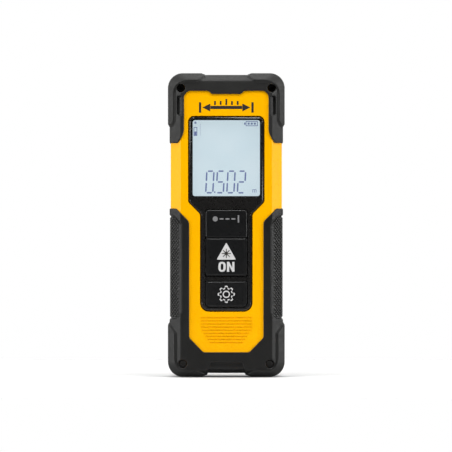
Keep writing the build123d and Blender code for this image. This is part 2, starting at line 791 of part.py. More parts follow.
lcd_bed = block(
    (-LCD_HALF - LCD_FIT, LCD_HALF + LCD_FIT),
    (-FAR, -BACKLIGHT_BACK),
    (LCD_LOW - LCD_FIT, LCD_HIGH + LCD_FIT),
)
holder_hollow = block(
    (-HOLDER_OPENING_HALF, HOLDER_OPENING_HALF),
    (-BACKLIGHT_BACK + HOLDER_CELL_FLOOR, 0),
    (HOLDER_LOW + HOLDER_WALL, HOLDER_HIGH - HOLDER_WALL),
)
flex_slot = block(
    (-FLEX_SLOT_HALF, FLEX_SLOT_HALF), (-FLEX_SLOT_FRONT, 0), (HOLDER_LOW - 1, LCD_LOW)
)
with BuildPart() as lcd_holder:
    holder_face = slab(HOLDER_HALF, HOLDER_LOW, HOLDER_HIGH, HOLDER_RADIUS)
    add(prism(holder_face, BOARD_FRONT, FRONT_INSIDE - 0.8))
    for hollow in (lcd_bed, holder_hollow, flex_slot):
        add(hollow, mode=Mode.SUBTRACT)
finish(lcd_holder, "lcd_holder")

flex_front_y = -LCD_BACK + FLEX_THICKNESS / 2
flex_back_y = -BOARD_FRONT - FLEX_RISE
with BuildPart() as lcd_flex:
    with BuildSketch(Plane.YZ):
        with BuildLine():
            FilletPolyline(
                (flex_front_y, LCD_LOW + 0.2),
                (flex_front_y, FLEX_BEND),
                (flex_back_y, FLEX_BEND),
                (flex_back_y, FLEX_LOW),
                radius=0.6,
            )
            offset(amount=FLEX_THICKNESS / 2, side=Side.BOTH)
        make_face()
    extrude(amount=FLEX_HALF, both=True)
finish(lcd_flex, "lcd_flex")

# ---------------------------------------------------------------- keys
mat_hollow = slab(
    MAT_HALF - MAT_THICKNESS, MAT_LOW + MAT_THICKNESS, MAT_HIGH - MAT_THICKNESS, MAT_RADIUS / 2
)
with BuildPart() as keypad_mat:
    add(prism(slab(MAT_HALF, MAT_LOW, MAT_HIGH, MAT_RADIUS), BOARD_FRONT, MAT_FRONT))
    add(prism(mat_hollow, 0, MAT_FRONT - MAT_THICKNESS), mode=Mode.SUBTRACT)
    for spot in (MEASURE_PUSHER, SETTINGS_PUSHER):
        add(rod(spot, PUSHER_RADIUS + PUSHER_CLEARANCE, 0, FAR), mode=Mode.SUBTRACT)
finish(keypad_mat, "keypad_mat")

with BuildPart() as marker_pad:
    pad_face = outline([
        (KEY_HALF, KEY_OPENING_HIGH - KEY_GAP, 1.2),
        (KEY_HALF, PAD_LOW, 0.5),
        (-KEY_HALF, PAD_LOW, 0.5),
        (-KEY_HALF, KEY_OPENING_HIGH - KEY_GAP, 1.2),
    ])
    add(prism(pad_face, MAT_FRONT, KEY_FRONT - 0.1))
    chamfer(marker_pad.faces().sort_by(Axis.Y)[0].edges(), 0.3)
finish(marker_pad, "marker_pad")


def side_slopes(low, high):
    """What the two sloping sides of a key take off its front."""
    outer = KEY_HALF + 1
    with BuildPart() as slopes:
        with BuildSketch(Plane.XY.offset(low)):
            with BuildLine():
                Polyline(
                    (CREASE_HALF, -KEY_FRONT),
                    (outer, -KEY_FRONT + CREASE_FALL),
                    (outer, -FAR),
                    (CREASE_HALF, -FAR),
                    close=True,
                )
            make_face()
        extrude(amount=high - low)
        mirror(about=Plane.YZ)
    return slopes.part


def key(z_range, top_radius, bottom_radius, pusher_spot):
    """A key cap with the flange that keeps it behind the bezel and the post that meets its dome."""
    low, high = z_range
    face = outline([
        (KEY_HALF, high, top_radius),
        (KEY_HALF, low, bottom_radius),
        (-KEY_HALF, low, bottom_radius),
        (-KEY_HALF, high, top_radius),
    ])
    with BuildPart() as cap:
        add(prism(face, FLANGE_BACK, KEY_FRONT))
        chamfer(cap.faces().sort_by(Axis.Y)[0].edges(), KEY_EDGE_BREAK)
        add(side_slopes(low, high), mode=Mode.SUBTRACT)
        flange_half = KEY_HALF + FLANGE_MARGIN
        add(block((-flange_half, flange_half), (-FLANGE_FRONT, -FLANGE_BACK), (low + 0.3, high - 0.3)))
        pusher_end = BOARD_FRONT + DOME_HEIGHT + KEY_TRAVEL + PUSHER_GAP
        add(rod(pusher_spot, PUSHER_RADIUS, pusher_end, FLANGE_BACK))
    return cap


measure_button = key(MEASURE_KEY_Z, 0.5, 0.8, MEASURE_PUSHER)
finish(measure_button, "measure_button")
settings_button = key(SETTINGS_KEY_Z, 0.6, 1.8, SETTINGS_PUSHER)
finish(settings_button, "settings_button")

dome_ball_radius = (DOME_RADIUS**2 + DOME_HEIGHT**2) / (2 * DOME_HEIGHT)
with BuildPart() as switch_domes:
    for x, z in (MEASURE_PUSHER, SETTINGS_PUSHER):
        ball_y = -BOARD_FRONT - DOME_HEIGHT + dome_ball_radius
        ball = Pos(x, ball_y, z) * Sphere(dome_ball_radius, mode=Mode.PRIVATE)
        add(ball & rod((x, z), DOME_RADIUS, BOARD_FRONT, FRONT))
finish(switch_domes, "switch_domes")

# ---------------------------------------------------------------- main board
def on_board_back(x_range, z_range, height):
    """A box that stands on the back of the main board."""
    return block(x_range, (-BOARD_BACK, -BOARD_BACK + height), z_range)


with BuildPart() as main_board:
    add(prism(slab(BOARD_HALF, BOARD_LOW, BOARD_HIGH, 1.5), BOARD_BACK, BOARD_FRONT))
    for spot in BOARD_POSTS:
        add(rod(spot, BOARD_HOLE_RADIUS, 0, FAR), mode=Mode.SUBTRACT)
finish(main_board, "main_board")

with BuildPart() as processor_chip:
    add(on_board_back(CHIP_X, CHIP_Z, CHIP_HEIGHT))
    chamfer(processor_chip.faces().sort_by(Axis.Y)[-1].edges(), 0.15)
finish(processor_chip, "processor_chip")

with BuildPart() as shield_can:
    add(on_board_back(SHIELD_X, SHIELD_Z, SHIELD_HEIGHT))
    fillet(shield_can.edges().filter_by(Axis.Y), 1.0)
    inner_x = (SHIELD_X[0] + SHIELD_WALL, SHIELD_X[1] - SHIELD_WALL)
    inner_z = (SHIELD_Z[0] + SHIELD_WALL, SHIELD_Z[1] - SHIELD_WALL)
    add(on_board_back(inner_x, inner_z, SHIELD_HEIGHT - SHIELD_WALL), mode=Mode.SUBTRACT)
finish(shield_can, "shield_can")

with BuildPart() as board_components:
    length, height, width = RESISTOR_SIZE
    for x in RESISTOR_X:
        for z in RESISTOR_Z:
            add(on_board_back((x, x + length), (z, z + width), height))
    length, height, width = INDUCTOR_SIZE
    for z in INDUCTOR_Z:
        add(on_board_back((INDUCTOR_X, INDUCTOR_X + length), (z, z + width), height))
finish(board_components, "board_components")

connector_slot = block(
    (-CONNECTOR_HALF + 0.3, CONNECTOR_HALF - 0.3),
    (flex_back_y - CONNECTOR_SLOT / 2, flex_back_y + CONNECTOR_SLOT / 2),
    (CONNECTOR_Z[0] + CONNECTOR_FLOOR, CONNECTOR_Z[1] + 1),
)
with BuildPart() as flex_connector:
    add(block(
        (-CONNECTOR_HALF, CONNECTOR_HALF), (-BOARD_FRONT - CONNECTOR_HEIGHT, -BOARD_FRONT), CONNECTOR_Z
    ))
    add(connector_slot, mode=Mode.SUBTRACT)
finish(flex_connector, "flex_connector")

with BuildPart() as buzzer:
    buzzer_front = BOARD_FRONT + BUZZER_HEIGHT
    add(rod(BUZZER_SPOT, BUZZER_RADIUS, BOARD_FRONT, buzzer_front))
    fillet(buzzer.faces().sort_by(Axis.Y)[0].edges(), 0.4)
    add(rod(BUZZER_SPOT, BUZZER_HOLE_RADIUS, buzzer_front - BUZZER_HOLE_DEPTH, FAR), mode=Mode.SUBTRACT)
finish(buzzer, "buzzer")

# ---------------------------------------------------------------- optics
LASER_SPOT = (LASER_X, OPTICS_Y)
RECEIVER_SPOT = (RECEIVER_X, OPTICS_Y)
plate_low, plate_high = BENCH_PLATE


def funnel(low, high, radii):
    """A cone round the receiver's axis, from a low radius to a high one."""
    with BuildPart() as cone:
        for z, radius in zip((low, high), radii):
            with BuildSketch(Plane.XY.offset(z)):
                with Locations(RECEIVER_SPOT):
                    Circle(radius)
        loft()
    return cone.part


with BuildPart() as optical_bench:
    half_x, half_y = BENCH_HALF
    add(block((-half_x, half_x), (OPTICS_Y - half_y, OPTICS_Y + half_y), BENCH_PLATE))
    fillet(optical_bench.edges().filter_by(Axis.Z), BENCH_RADIUS)
    add(post(LASER_SPOT, LASER_TUBE_RADIUS, LASER_TUBE_LOW, plate_low + 0.5))
    add(funnel(FUNNEL_LOW, FUNNEL_HIGH, FUNNEL_OUTER))
    ear_x, ear_z = BENCH_EARS[0]
    ear_half = ear_x + POST_RADIUS + 0.1
    add(block((-ear_half, ear_half), (-EAR_FRONT, -EAR_REAR), (ear_z - 5.5, ear_z + 5.5)))
    web_z = (LASER_TUBE_LOW, plate_low + 0.5)
    add(block((LASER_X, RECEIVER_X), (OPTICS_Y - WEB_HALF, OPTICS_Y + WEB_HALF), web_z))
    add(post(LASER_SPOT, BARREL_RADIUS + BARREL_FIT, FUNNEL_LOW, TOP), mode=Mode.SUBTRACT)
    lens_pocket = post(RECEIVER_SPOT, RECEIVER_LENS_RADIUS + RECEIVER_LENS_FIT, LENS_SEAT, TOP)
    add(lens_pocket, mode=Mode.SUBTRACT)
    add(funnel(FUNNEL_LOW - 0.1, LENS_SEAT + 0.1, FUNNEL_INNER), mode=Mode.SUBTRACT)
    for spot in BENCH_EARS:
        add(rod(spot, SHANK_CLEARANCE_RADIUS, -FAR, 0), mode=Mode.SUBTRACT)
finish(optical_bench, "optical_bench")

barrel_low, barrel_high = BARREL_Z
with BuildPart() as laser_barrel:
    add(post(LASER_SPOT, BARREL_RADIUS, barrel_low, barrel_high))
    add(post(LASER_SPOT, BARREL_BORE_RADIUS, barrel_low - 1, barrel_high + 1), mode=Mode.SUBTRACT)
finish(laser_barrel, "laser_barrel")

with BuildPart() as laser_diode:
    add(post(LASER_SPOT, DIODE_BASE_RADIUS, DIODE_LOW, barrel_low))
    add(post(LASER_SPOT, DIODE_CAN_RADIUS, barrel_low, DIODE_HIGH))
    for pin_x, pin_y in DIODE_PINS:
        add(post((LASER_X + pin_x, OPTICS_Y + pin_y), DIODE_PIN_RADIUS, DIODE_PIN_LOW, DIODE_LOW))
finish(laser_diode, "laser_diode")


def lens(x, radius, low, edge, crown, name):
    """A biconvex lens on an upright axis, with its rim from low to low + edge."""
    ball_radius = (radius**2 + crown**2) / (2 * crown)
    with BuildPart() as glass:
        with BuildSketch(Plane.XZ):
            with BuildLine():
                Line((0, low - crown), (0, low + edge + crown))
                RadiusArc((0, low + edge + crown), (radius, low + edge), ball_radius)
                Line((radius, low + edge), (radius, low))
                RadiusArc((radius, low), (0, low - crown), ball_radius)
            make_face()
        revolve(axis=Axis.Z)
    glass.part = Pos(x, OPTICS_Y, 0) * glass.part
    finish(glass, name)


lens(LASER_X, COLLIMATOR_RADIUS, COLLIMATOR_LOW, 1.2, 0.6, "collimator_lens")
lens(RECEIVER_X, RECEIVER_LENS_RADIUS, RECEIVER_LENS_LOW, 1.4, 0.8, "receiver_lens")

with BuildPart() as receiver_baffle:
    add(post(RECEIVER_SPOT, BAFFLE_RADIUS, plate_high, END_FRAME_LOW))
    add(post(RECEIVER_SPOT, BAFFLE_OPENING, plate_high - 0.5, END_FRAME_LOW + 1), mode=Mode.SUBTRACT)
finish(receiver_baffle, "receiver_baffle")

with BuildPart() as receiver_sensor:
    add(post(RECEIVER_SPOT, SENSOR_BASE_RADIUS, SENSOR_LOW, SENSOR_LOW + SENSOR_BASE))
    add(post(RECEIVER_SPOT, SENSOR_CAN_RADIUS, SENSOR_LOW + SENSOR_BASE, FUNNEL_LOW))
finish(receiver_sensor, "receiver_sensor")

with BuildPart() as sensor_board:
    half_x, half_y = SENSOR_BOARD_HALF
    add(block(
        (RECEIVER_X - half_x, RECEIVER_X + half_x),
        (OPTICS_Y - half_y, OPTICS_Y + half_y),
        (SENSOR_LOW - SENSOR_BOARD_THICKNESS, SENSOR_LOW),
    ))
finish(sensor_board, "sensor_board")


def end_plate(half_x, half_y, radius, low, height):
    """A rounded plate across the laser end, centred on the end frame."""
    with BuildPart() as plate:
        with BuildSketch(Plane.XY.offset(low)):
            with Locations((0, FRAME_Y)):
                RectangleRounded(2 * half_x, 2 * half_y, radius)
        extrude(amount=height)
    return plate.part


window_half_x, window_half_y = END_WINDOW_HALF
with BuildPart() as optics_frame:
    frame_height = TOP - END_FRAME_LOW
    add(end_plate(END_FRAME_HALF_X, END_FRAME_HALF_Y, END_FRAME_RADIUS, END_FRAME_LOW, frame_height))
    fillet(optics_frame.faces().sort_by(Axis.Z)[-1].edges(), 0.3)
    margin_x, margin_y = END_FLANGE_MARGIN
    flange_x, flange_y = END_FRAME_HALF_X + margin_x, END_FRAME_HALF_Y + margin_y
    add(end_plate(flange_x, flange_y, END_FRAME_RADIUS + 0.5, END_FRAME_LOW, END_FLANGE_HEIGHT))
    add(end_plate(window_half_x, window_half_y, 1.5, END_WINDOW_LOW, FAR), mode=Mode.SUBTRACT)
    add(post(LASER_SPOT, LASER_WINDOW_RADIUS, END_FRAME_LOW - 1, FAR + TOP), mode=Mode.SUBTRACT)
    add(post(RECEIVER_SPOT, RECEIVER_WINDOW_RADIUS, END_FRAME_LOW - 1, FAR + TOP), mode=Mode.SUBTRACT)
finish(optics_frame, "optics_frame")

with BuildPart() as optics_window:
    add(end_plate(
        window_half_x - END_WINDOW_FIT,
        window_half_y - END_WINDOW_FIT,
        1.5 - END_WINDOW_FIT,
        END_WINDOW_LOW,
        END_WINDOW_THICKNESS,
    ))
    chamfer(optics_window.faces().sort_by(Axis.Z)[-1].edges(), 0.12)
finish(optics_window, "optics_window")


# ---------------------------------------------------------------- battery bay
def cell(x, points_up, name):
    """An AAA cell, with its nub up or down against the flat contact."""
    if points_up:
        top = BAY_HIGH - CONTACT_THICKNESS
        body = (top - CELL_LENGTH, top - NUB_LENGTH)
        nub = (body[1], top)
    else:
        bottom = BAY_LOW + CONTACT_THICKNESS
        body = (bottom + NUB_LENGTH, bottom + CELL_LENGTH)
        nub = (bottom, body[0])
    with BuildPart() as can:
        add(post((x, CELL_Y), CELL_RADIUS, *body))
        fillet(can.edges().filter_by(GeomType.CIRCLE), CAN_ROUNDING)
        add(post((x, CELL_Y), NUB_RADIUS, *nub))
    finish(can, name)


cell(-CELL_X, True, "battery_left")
cell(CELL_X, False, "battery_right")


def cell_spring(x, low):
    """A compressed contact spring between a contact plate and a cell's flat end."""
    rise = SPRING_GAP - SPRING_WIRE - 2 * SPRING_CLEARANCE
    with BuildPart() as coil:
        with BuildLine() as path:
            Helix(pitch=rise / SPRING_TURNS, height=rise, radius=SPRING_RADIUS)
        with BuildSketch(Plane(origin=path.line @ 0, z_dir=path.line % 0)):
            Circle(SPRING_WIRE / 2)
        sweep(is_frenet=True)
    return Pos(x, CELL_Y, low + SPRING_WIRE / 2 + SPRING_CLEARANCE) * coil.part


lower_spring = cell_spring(-CELL_X, BAY_LOW + CONTACT_THICKNESS)
upper_spring = cell_spring(CELL_X, BAY_HIGH - CONTACT_THICKNESS - SPRING_GAP)
with BuildPart() as battery_springs:
    add(lower_spring)
    add(upper_spring)
finish(battery_springs, "battery_springs")

with BuildPart() as contact_plates:
    for low in (BAY_LOW, BAY_HIGH - CONTACT_THICKNESS):
        plate_z = (low, low + CONTACT_THICKNESS)
        for x in (-CELL_X, CELL_X):
            add(block((x - CONTACT_HALF, x + CONTACT_HALF), (BAY_FLOOR + 0.05, CONTACT_REAR), plate_z))
            add(block((x - LEAD_HALF, x + LEAD_HALF), (-BOARD_BACK, 0), plate_z))
finish(contact_plates, "contact_plates")

# ---------------------------------------------------------------- battery door
door_face = slab(DOOR_HALF, DOOR_LOW, DOOR_HIGH, DOOR_RADIUS)

with BuildPart() as battery_door:
    add(prism(door_face, -DOOR_INSIDE, REAR))
    chamfer(battery_door.faces().sort_by(Axis.Y)[-1].edges(), 0.3)
    for side in (-1, 1):
        slit_x = (side * TONGUE_HALF - TONGUE_SLIT_HALF, side * TONGUE_HALF + TONGUE_SLIT_HALF)
        add(block(slit_x, (0, FAR), (TONGUE_LOW, DOOR_HIGH + 1)), mode=Mode.SUBTRACT)
        hook_x = (side * DOOR_HOOK_X - HOOK_HALF, side * DOOR_HOOK_X + HOOK_HALF)
        add(block(hook_x, (HOOK_FRONT, DOOR_INSIDE), (DOOR_LOW, DOOR_LOW + HOOK_NECK)))
        add(block(hook_x, (HOOK_FRONT, HOOK_REAR), (DOOR_LOW - HOOK_REACH, DOOR_LOW)))
        rib_x = (side * DOOR_RIB_X - DOOR_RIB_HALF, side * DOOR_RIB_X + DOOR_RIB_HALF)
        add(block(rib_x, (DOOR_RIB_FRONT, DOOR_INSIDE), DOOR_RIB_Z))
    catch_z = (DOOR_HIGH - CATCH_THICKNESS, DOOR_HIGH)
    add(block((-CATCH_HALF, CATCH_HALF), (CATCH_FRONT, DOOR_INSIDE), catch_z))
    for step in range(THUMB_RIB_COUNT):
        with BuildSketch(front_plane(REAR + 0.1)):
            with Locations((0, THUMB_RIB_LOW + THUMB_RIB_PITCH * step)):
                SlotOverall(*THUMB_RIB_SIZE)
        extrude(amount=-THUMB_RIB_DEPTH)
finish(battery_door, "battery_door")

with BuildPart() as door_pads:
    for x in (-CELL_X, CELL_X):
        add(block((x - PAD_HALF, x + PAD_HALF), (PAD_FRONT, DOOR_INSIDE), PAD_Z))
finish(door_pads, "door_pads")


# ---------------------------------------------------------------- fasteners
def lobed_socket(spot, from_depth, to_depth):
    """A six-lobed driver socket: a core with a lobe every sixty degrees."""
    x, z = spot
    with BuildPart() as socket:
        with BuildSketch(front_plane(from_depth)):
            with Locations(spot):
                Circle(0.75 * SOCKET_REACH)
            for index in range(LOBE_COUNT):
                angle = 2 * pi * index / LOBE_COUNT
                lobe_offset = 0.72 * SOCKET_REACH
                with Locations((x + lobe_offset * cos(angle), z + lobe_offset * sin(angle))):
                    Circle(0.28 * SOCKET_REACH)
        extrude(amount=to_depth - from_depth)
    return socket.part


with BuildPart() as case_screws:
    head_front = SCREW_SEAT + SCREW_HEAD_HEIGHT
    for spot in CASE_SCREW_SPOTS:
        add(rod(spot, SCREW_HEAD_RADIUS, SCREW_SEAT, head_front))
        add(rod(spot, SCREW_SHANK_RADIUS, SCREW_TIP, SCREW_SEAT))
    head_rims = case_screws.edges().filter_by(GeomType.CIRCLE).group_by(Axis.Y)[0]
    fillet(head_rims, HEAD_ROUNDING)
    for spot in CASE_SCREW_SPOTS:
        add(lobed_socket(spot, head_front - SOCKET_DEPTH, FAR), mode=Mode.SUBTRACT)
finish(case_screws, "case_screws")

with BuildPart() as board_screws:
    head_back = BOARD_BACK - BOARD_SCREW_HEAD_HEIGHT
    for spot in BOARD_POSTS:
        add(rod(spot, BOARD_SCREW_HEAD_RADIUS, head_back, BOARD_BACK))
        add(rod(spot, SCREW_SHANK_RADIUS, BOARD_BACK, BOARD_BACK + BOARD_SCREW_REACH))
        add(lobed_socket(spot, BOARD_BACK - 0.4, 0), mode=Mode.SUBTRACT)
finish(board_screws, "board_screws")

with BuildPart() as bench_screws:
    head_front = EAR_FRONT + BENCH_SCREW_HEAD_HEIGHT
    for spot in BENCH_EARS:
        add(rod(spot, BENCH_SCREW_HEAD_RADIUS, EAR_FRONT, head_front))
        add(rod(spot, SCREW_SHANK_RADIUS, EAR_FRONT, BENCH_SCREW_TIP))
        add(lobed_socket(spot, EAR_FRONT + 0.5, 0), mode=Mode.SUBTRACT)
finish(bench_screws, "bench_screws")
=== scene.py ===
"""Looks of the laser distance meter: materials, grip studs, marks, display segments, stage and lights."""

from math import cos, pi, radians, sin

import bmesh
import bpy
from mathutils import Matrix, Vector
from mathutils.bvhtree import BVHTree


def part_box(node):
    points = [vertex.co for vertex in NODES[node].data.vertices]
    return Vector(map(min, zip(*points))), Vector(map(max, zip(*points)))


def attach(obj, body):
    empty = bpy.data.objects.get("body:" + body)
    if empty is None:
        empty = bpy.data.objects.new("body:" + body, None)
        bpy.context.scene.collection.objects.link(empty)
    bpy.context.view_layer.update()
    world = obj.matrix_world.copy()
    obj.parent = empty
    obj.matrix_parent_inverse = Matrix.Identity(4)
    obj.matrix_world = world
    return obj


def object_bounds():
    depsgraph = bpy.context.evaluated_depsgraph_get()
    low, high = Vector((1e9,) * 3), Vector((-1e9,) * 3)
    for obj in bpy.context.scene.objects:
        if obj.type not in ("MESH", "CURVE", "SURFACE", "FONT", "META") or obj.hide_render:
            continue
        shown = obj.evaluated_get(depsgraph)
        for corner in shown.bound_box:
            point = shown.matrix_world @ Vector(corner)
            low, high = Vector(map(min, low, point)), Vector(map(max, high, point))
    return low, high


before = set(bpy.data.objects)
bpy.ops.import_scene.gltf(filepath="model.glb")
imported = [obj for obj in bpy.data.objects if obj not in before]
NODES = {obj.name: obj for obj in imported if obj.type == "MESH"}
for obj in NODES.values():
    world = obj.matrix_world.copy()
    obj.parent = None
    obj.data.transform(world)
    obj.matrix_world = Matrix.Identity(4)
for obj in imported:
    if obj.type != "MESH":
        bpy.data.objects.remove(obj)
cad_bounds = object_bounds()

MM = 0.001
SCENE = bpy.context.scene
SCENE.view_settings.view_transform = "Standard"


# ---------------------------------------------------------------- materials
class Look:
    """A material being built: a Principled shader with procedural nodes in front of it."""

    def __init__(self, name, roughness=0.5, **sockets):
        self.material = bpy.data.materials.new(name)
        self.material.use_nodes = True
        self.tree = self.material.node_tree
        self.shader = self.tree.nodes["Principled BSDF"]
        self.shader.inputs["Roughness"].default_value = roughness
        for socket, value in sockets.items():
            self.shader.inputs[socket.replace("_", " ")].default_value = value
        self.place = self.tree.nodes.new("ShaderNodeTexCoord").outputs["Object"]

    def node(self, kind, inputs=(), **settings):
        """Adds a node. Inputs are (socket, value or output) pairs."""
        made = self.tree.nodes.new("ShaderNode" + kind)
        for setting, value in settings.items():
            setattr(made, setting, value)
        for socket, value in inputs:
            if isinstance(value, bpy.types.NodeSocket):
                self.tree.links.new(value, made.inputs[socket])
            else:
                made.inputs[socket].default_value = value
        return made

    def noise(self, size_mm, detail=2.0, stretch=(1, 1, 1)):
        """Noise whose features are about size_mm across."""
        scaled = self.node("Mapping", [("Vector", self.place), ("Scale", stretch)])
        made = self.node(
            "TexNoise", [("Vector", scaled.outputs[0]), ("Scale", 1 / (size_mm * MM)), ("Detail", detail)]
        )
        return made.outputs["Fac"]

    def cells(self, size_mm):
        """Distance to scattered points, for pebbles and grains."""
        made = self.node("TexVoronoi", [("Vector", self.place), ("Scale", 1 / (size_mm * MM))])
        return made.outputs["Distance"]

    def spread(self, value, low, high, out_low, out_high):
        """A value moved from one range to another."""
        made = self.node(
            "MapRange",
            [
                ("Value", value), ("From Min", low), ("From Max", high),
                ("To Min", out_low), ("To Max", out_high),
            ],
        )
        return made.outputs["Result"]

    def blend(self, factor, first, second):
        """A colour between two, by a factor."""
        made = self.node("Mix", [("Factor", factor)], data_type="RGBA")
        for socket, value in ((6, first), (7, second)):
            if isinstance(value, bpy.types.NodeSocket):
                self.tree.links.new(value, made.inputs[socket])
            else:
                made.inputs[socket].default_value = (*value, 1)
        return made.outputs[2]

    def colour(self, value):
        self.tree.links.new(value, self.shader.inputs["Base Color"])

    def rough(self, value):
        self.tree.links.new(value, self.shader.inputs["Roughness"])

    def bump(self, height, depth_mm):
        made = self.node("Bump", [("Height", height), ("Strength", 1.0), ("Distance", depth_mm * MM)])
        self.tree.links.new(made.outputs["Normal"], self.shader.inputs["Normal"])


TONE_MM = 9.0


def moulded(name, base, deep, roughness, grain_mm, grain_depth_mm, **sockets):
    """A moulded plastic or rubber: spark-eroded grain, a slow change of tone and uneven gloss."""
    look = Look(name, **sockets)
    look.colour(look.blend(look.spread(look.noise(TONE_MM, 3.0), 0.35, 0.65, 0, 1), base, deep))
    look.rough(look.spread(look.noise(grain_mm * 8, 4.0), 0.3, 0.7, roughness - 0.05, roughness + 0.06))
    look.bump(look.noise(grain_mm, 3.0), grain_depth_mm)
    return look.material


def rubber(name, base, deep, dust, roughness, shine=0.26):
    """Soft-touch rubber: a fine pebble, and paler specks of dust held in it."""
    look = Look(name, Specular_IOR_Level=shine)
    tone = look.blend(look.spread(look.noise(7.0, 4.0), 0.35, 0.65, 0, 1), base, deep)
    specks = look.spread(look.noise(0.22, 2.0), 0.62, 0.78, 0, 0.35)
    look.colour(look.blend(specks, tone, dust))
    look.rough(look.spread(look.noise(1.4, 4.0), 0.3, 0.7, roughness - 0.06, roughness + 0.06))
    look.bump(look.cells(0.28), 0.035)
    return look.material


def brushed(name, base, deep, roughness, stretch, **sockets):
    """Metal with fine drawn lines along one direction."""
    look = Look(name, Metallic=1.0, **sockets)
    lines = look.noise(0.35, 4.0, stretch)
    look.colour(look.blend(lines, base, deep))
    look.rough(look.spread(lines, 0.3, 0.7, roughness - 0.07, roughness + 0.08))
    look.bump(lines, 0.012)
    return look.material


def printed(name, base, deep, roughness=0.55, **sockets):
    """Screen ink: nearly even, with the slight mottle of a printed film."""
    look = Look(name, **sockets)
    look.colour(look.blend(look.noise(0.5, 3.0), base, deep))
    look.rough(look.spread(look.noise(0.3), 0.3, 0.7, roughness - 0.05, roughness + 0.05))
    return look.material


MOST_GLARE = 0.22


def clear(name, tint, film):
    """A thin clear moulding: what is behind shows through, under a glossy skin with faint smears.

    The glare is capped, because light that leaves through the back face would else be thrown back at a slant.
    """
    look = Look(name)
    tree = look.tree
    tree.nodes.remove(look.shader)
    smear = look.spread(look.noise(6.0, 4.0), 0.35, 0.65, 0.03, 0.09)
    gloss = look.node("BsdfGlossy", [("Color", (1, 1, 1, 1)), ("Roughness", smear)])
    through = look.node("BsdfTransparent", [("Color", (*tint, 1))])
    skin = look.node("Fresnel", [("IOR", film)])
    veil = look.node("Math", [(0, skin.outputs[0]), (1, MOST_GLARE)], operation="MINIMUM")
    mixed = look.node(
        "MixShader", [("Fac", veil.outputs[0]), (1, through.outputs[0]), (2, gloss.outputs[0])]
    )
    tree.links.new(mixed.outputs[0], tree.nodes["Material Output"].inputs["Surface"])
    return look.material


def circuit_board(name):
    """Green solder resist with faint copper tracks under it."""
    look = Look(name, Coat_Weight=0.25)
    tracks = look.node(
        "TexBrick",
        [
            ("Vector", look.place), ("Scale", 420.0), ("Mortar Size", 0.035),
            ("Color1", (0.008, 0.085, 0.03, 1)), ("Color2", (0.010, 0.10, 0.036, 1)),
            ("Mortar", (0.03, 0.17, 0.07, 1)),
        ],
    )
    look.colour(tracks.outputs["Color"])
    look.rough(look.spread(look.noise(2.0), 0.3, 0.7, 0.28, 0.4))
    look.bump(tracks.outputs["Fac"], 0.02)
    return look.material


def lcd_face(name):
    """The lit display: a dull grey film under an even, pale blue-grey glow with slow changes of tone."""
    look = Look(name)
    slow = look.spread(look.noise(14.0, 2.0), 0.3, 0.7, 0, 1)
    pale = look.blend(slow, (0.565, 0.69, 0.745), (0.62, 0.73, 0.78))
    look.colour(look.blend(slow, (0.10, 0.12, 0.13), (0.11, 0.13, 0.14)))
    look.rough(look.spread(look.noise(0.2), 0.3, 0.7, 0.35, 0.45))
    look.tree.links.new(pale, look.shader.inputs["Emission Color"])
    look.shader.inputs["Emission Strength"].default_value = 0.92
    return look.material


# Where a cell's jacket, its silver band and its bare end start, as shares of its length.
JACKET_START, BAND_START, BARE_START = 0.018, 0.720, 0.976
PRINT_EDGE = 0.004


def cell_jacket(name, flat_end, positive_end):
    """A cell's printed jacket: a silver band at its positive end, and bare steel at both ends."""
    look = Look(name)
    height = look.node("SeparateXYZ", [("Vector", look.place)]).outputs["Z"]
    along = look.spread(height, flat_end, positive_end, 0, 1)
    print_mottle = look.noise(0.6, 3.0)
    blue = look.blend(print_mottle, (0.020, 0.060, 0.150), (0.016, 0.050, 0.130))
    silver = look.blend(print_mottle, (0.50, 0.51, 0.52), (0.44, 0.45, 0.46))
    jacket = look.blend(look.spread(along, BAND_START, BAND_START + PRINT_EDGE, 0, 1), blue, silver)
    flat_steel = look.spread(along, JACKET_START, JACKET_START + PRINT_EDGE, 1, 0)
    positive_steel = look.spread(along, BARE_START, BARE_START + PRINT_EDGE, 0, 1)
    steel = look.node("Math", [(0, flat_steel), (1, positive_steel)], operation="MAXIMUM").outputs[0]
    look.colour(look.blend(steel, jacket, (0.60, 0.60, 0.59)))
    look.tree.links.new(steel, look.shader.inputs["Metallic"])
    look.rough(look.spread(look.noise(1.5, 3.0), 0.3, 0.7, 0.24, 0.34))
    look.bump(print_mottle, 0.002)
    return look.material


YELLOW = moulded(
    "yellow shell", (0.90, 0.425, 0.0), (0.87, 0.408, 0.0), 0.30, 0.16, 0.008, Specular_IOR_Level=0.08
)
BEZEL_BLACK = moulded(
    "bezel black", (0.0085, 0.0080, 0.0076), (0.0070, 0.0066, 0.0063), 0.29, 0.12, 0.0012,
    Specular_IOR_Level=0.42,
)
KEY_BLACK = moulded(
    "key black", (0.0068, 0.0070, 0.0074), (0.0055, 0.0057, 0.0060), 0.32, 0.14, 0.0025,
    Specular_IOR_Level=0.26,
)
INNER_BLACK = moulded("inner black", (0.016, 0.016, 0.017), (0.011, 0.011, 0.012), 0.5, 0.2, 0.015)
DOOR_BLACK = moulded("door black", (0.022, 0.022, 0.024), (0.016, 0.016, 0.018), 0.48, 0.18, 0.016)
WHITE_PLASTIC = moulded("white plastic", (0.78, 0.79, 0.78), (0.70, 0.71, 0.70), 0.5, 0.2, 0.010)
CHIP_BLACK = moulded("chip epoxy", (0.016, 0.016, 0.017), (0.012, 0.012, 0.012), 0.62, 0.1, 0.012)
LABEL = moulded("label film", (0.46, 0.47, 0.48), (0.42, 0.43, 0.44), 0.4, 0.12, 0.004)
# The top and grip guards are one rubber in two tones. The top guard's is painted lighter, as painted light
# from above, and the grip guard's is darker, as painted shade low down.
TOP_GUARD_PAINTED_LIGHTER = rubber(
    "top guard rubber painted lighter", (0.021, 0.021, 0.0202), (0.018, 0.018, 0.0173), (0.042, 0.042, 0.041), 0.46, 0.17
)
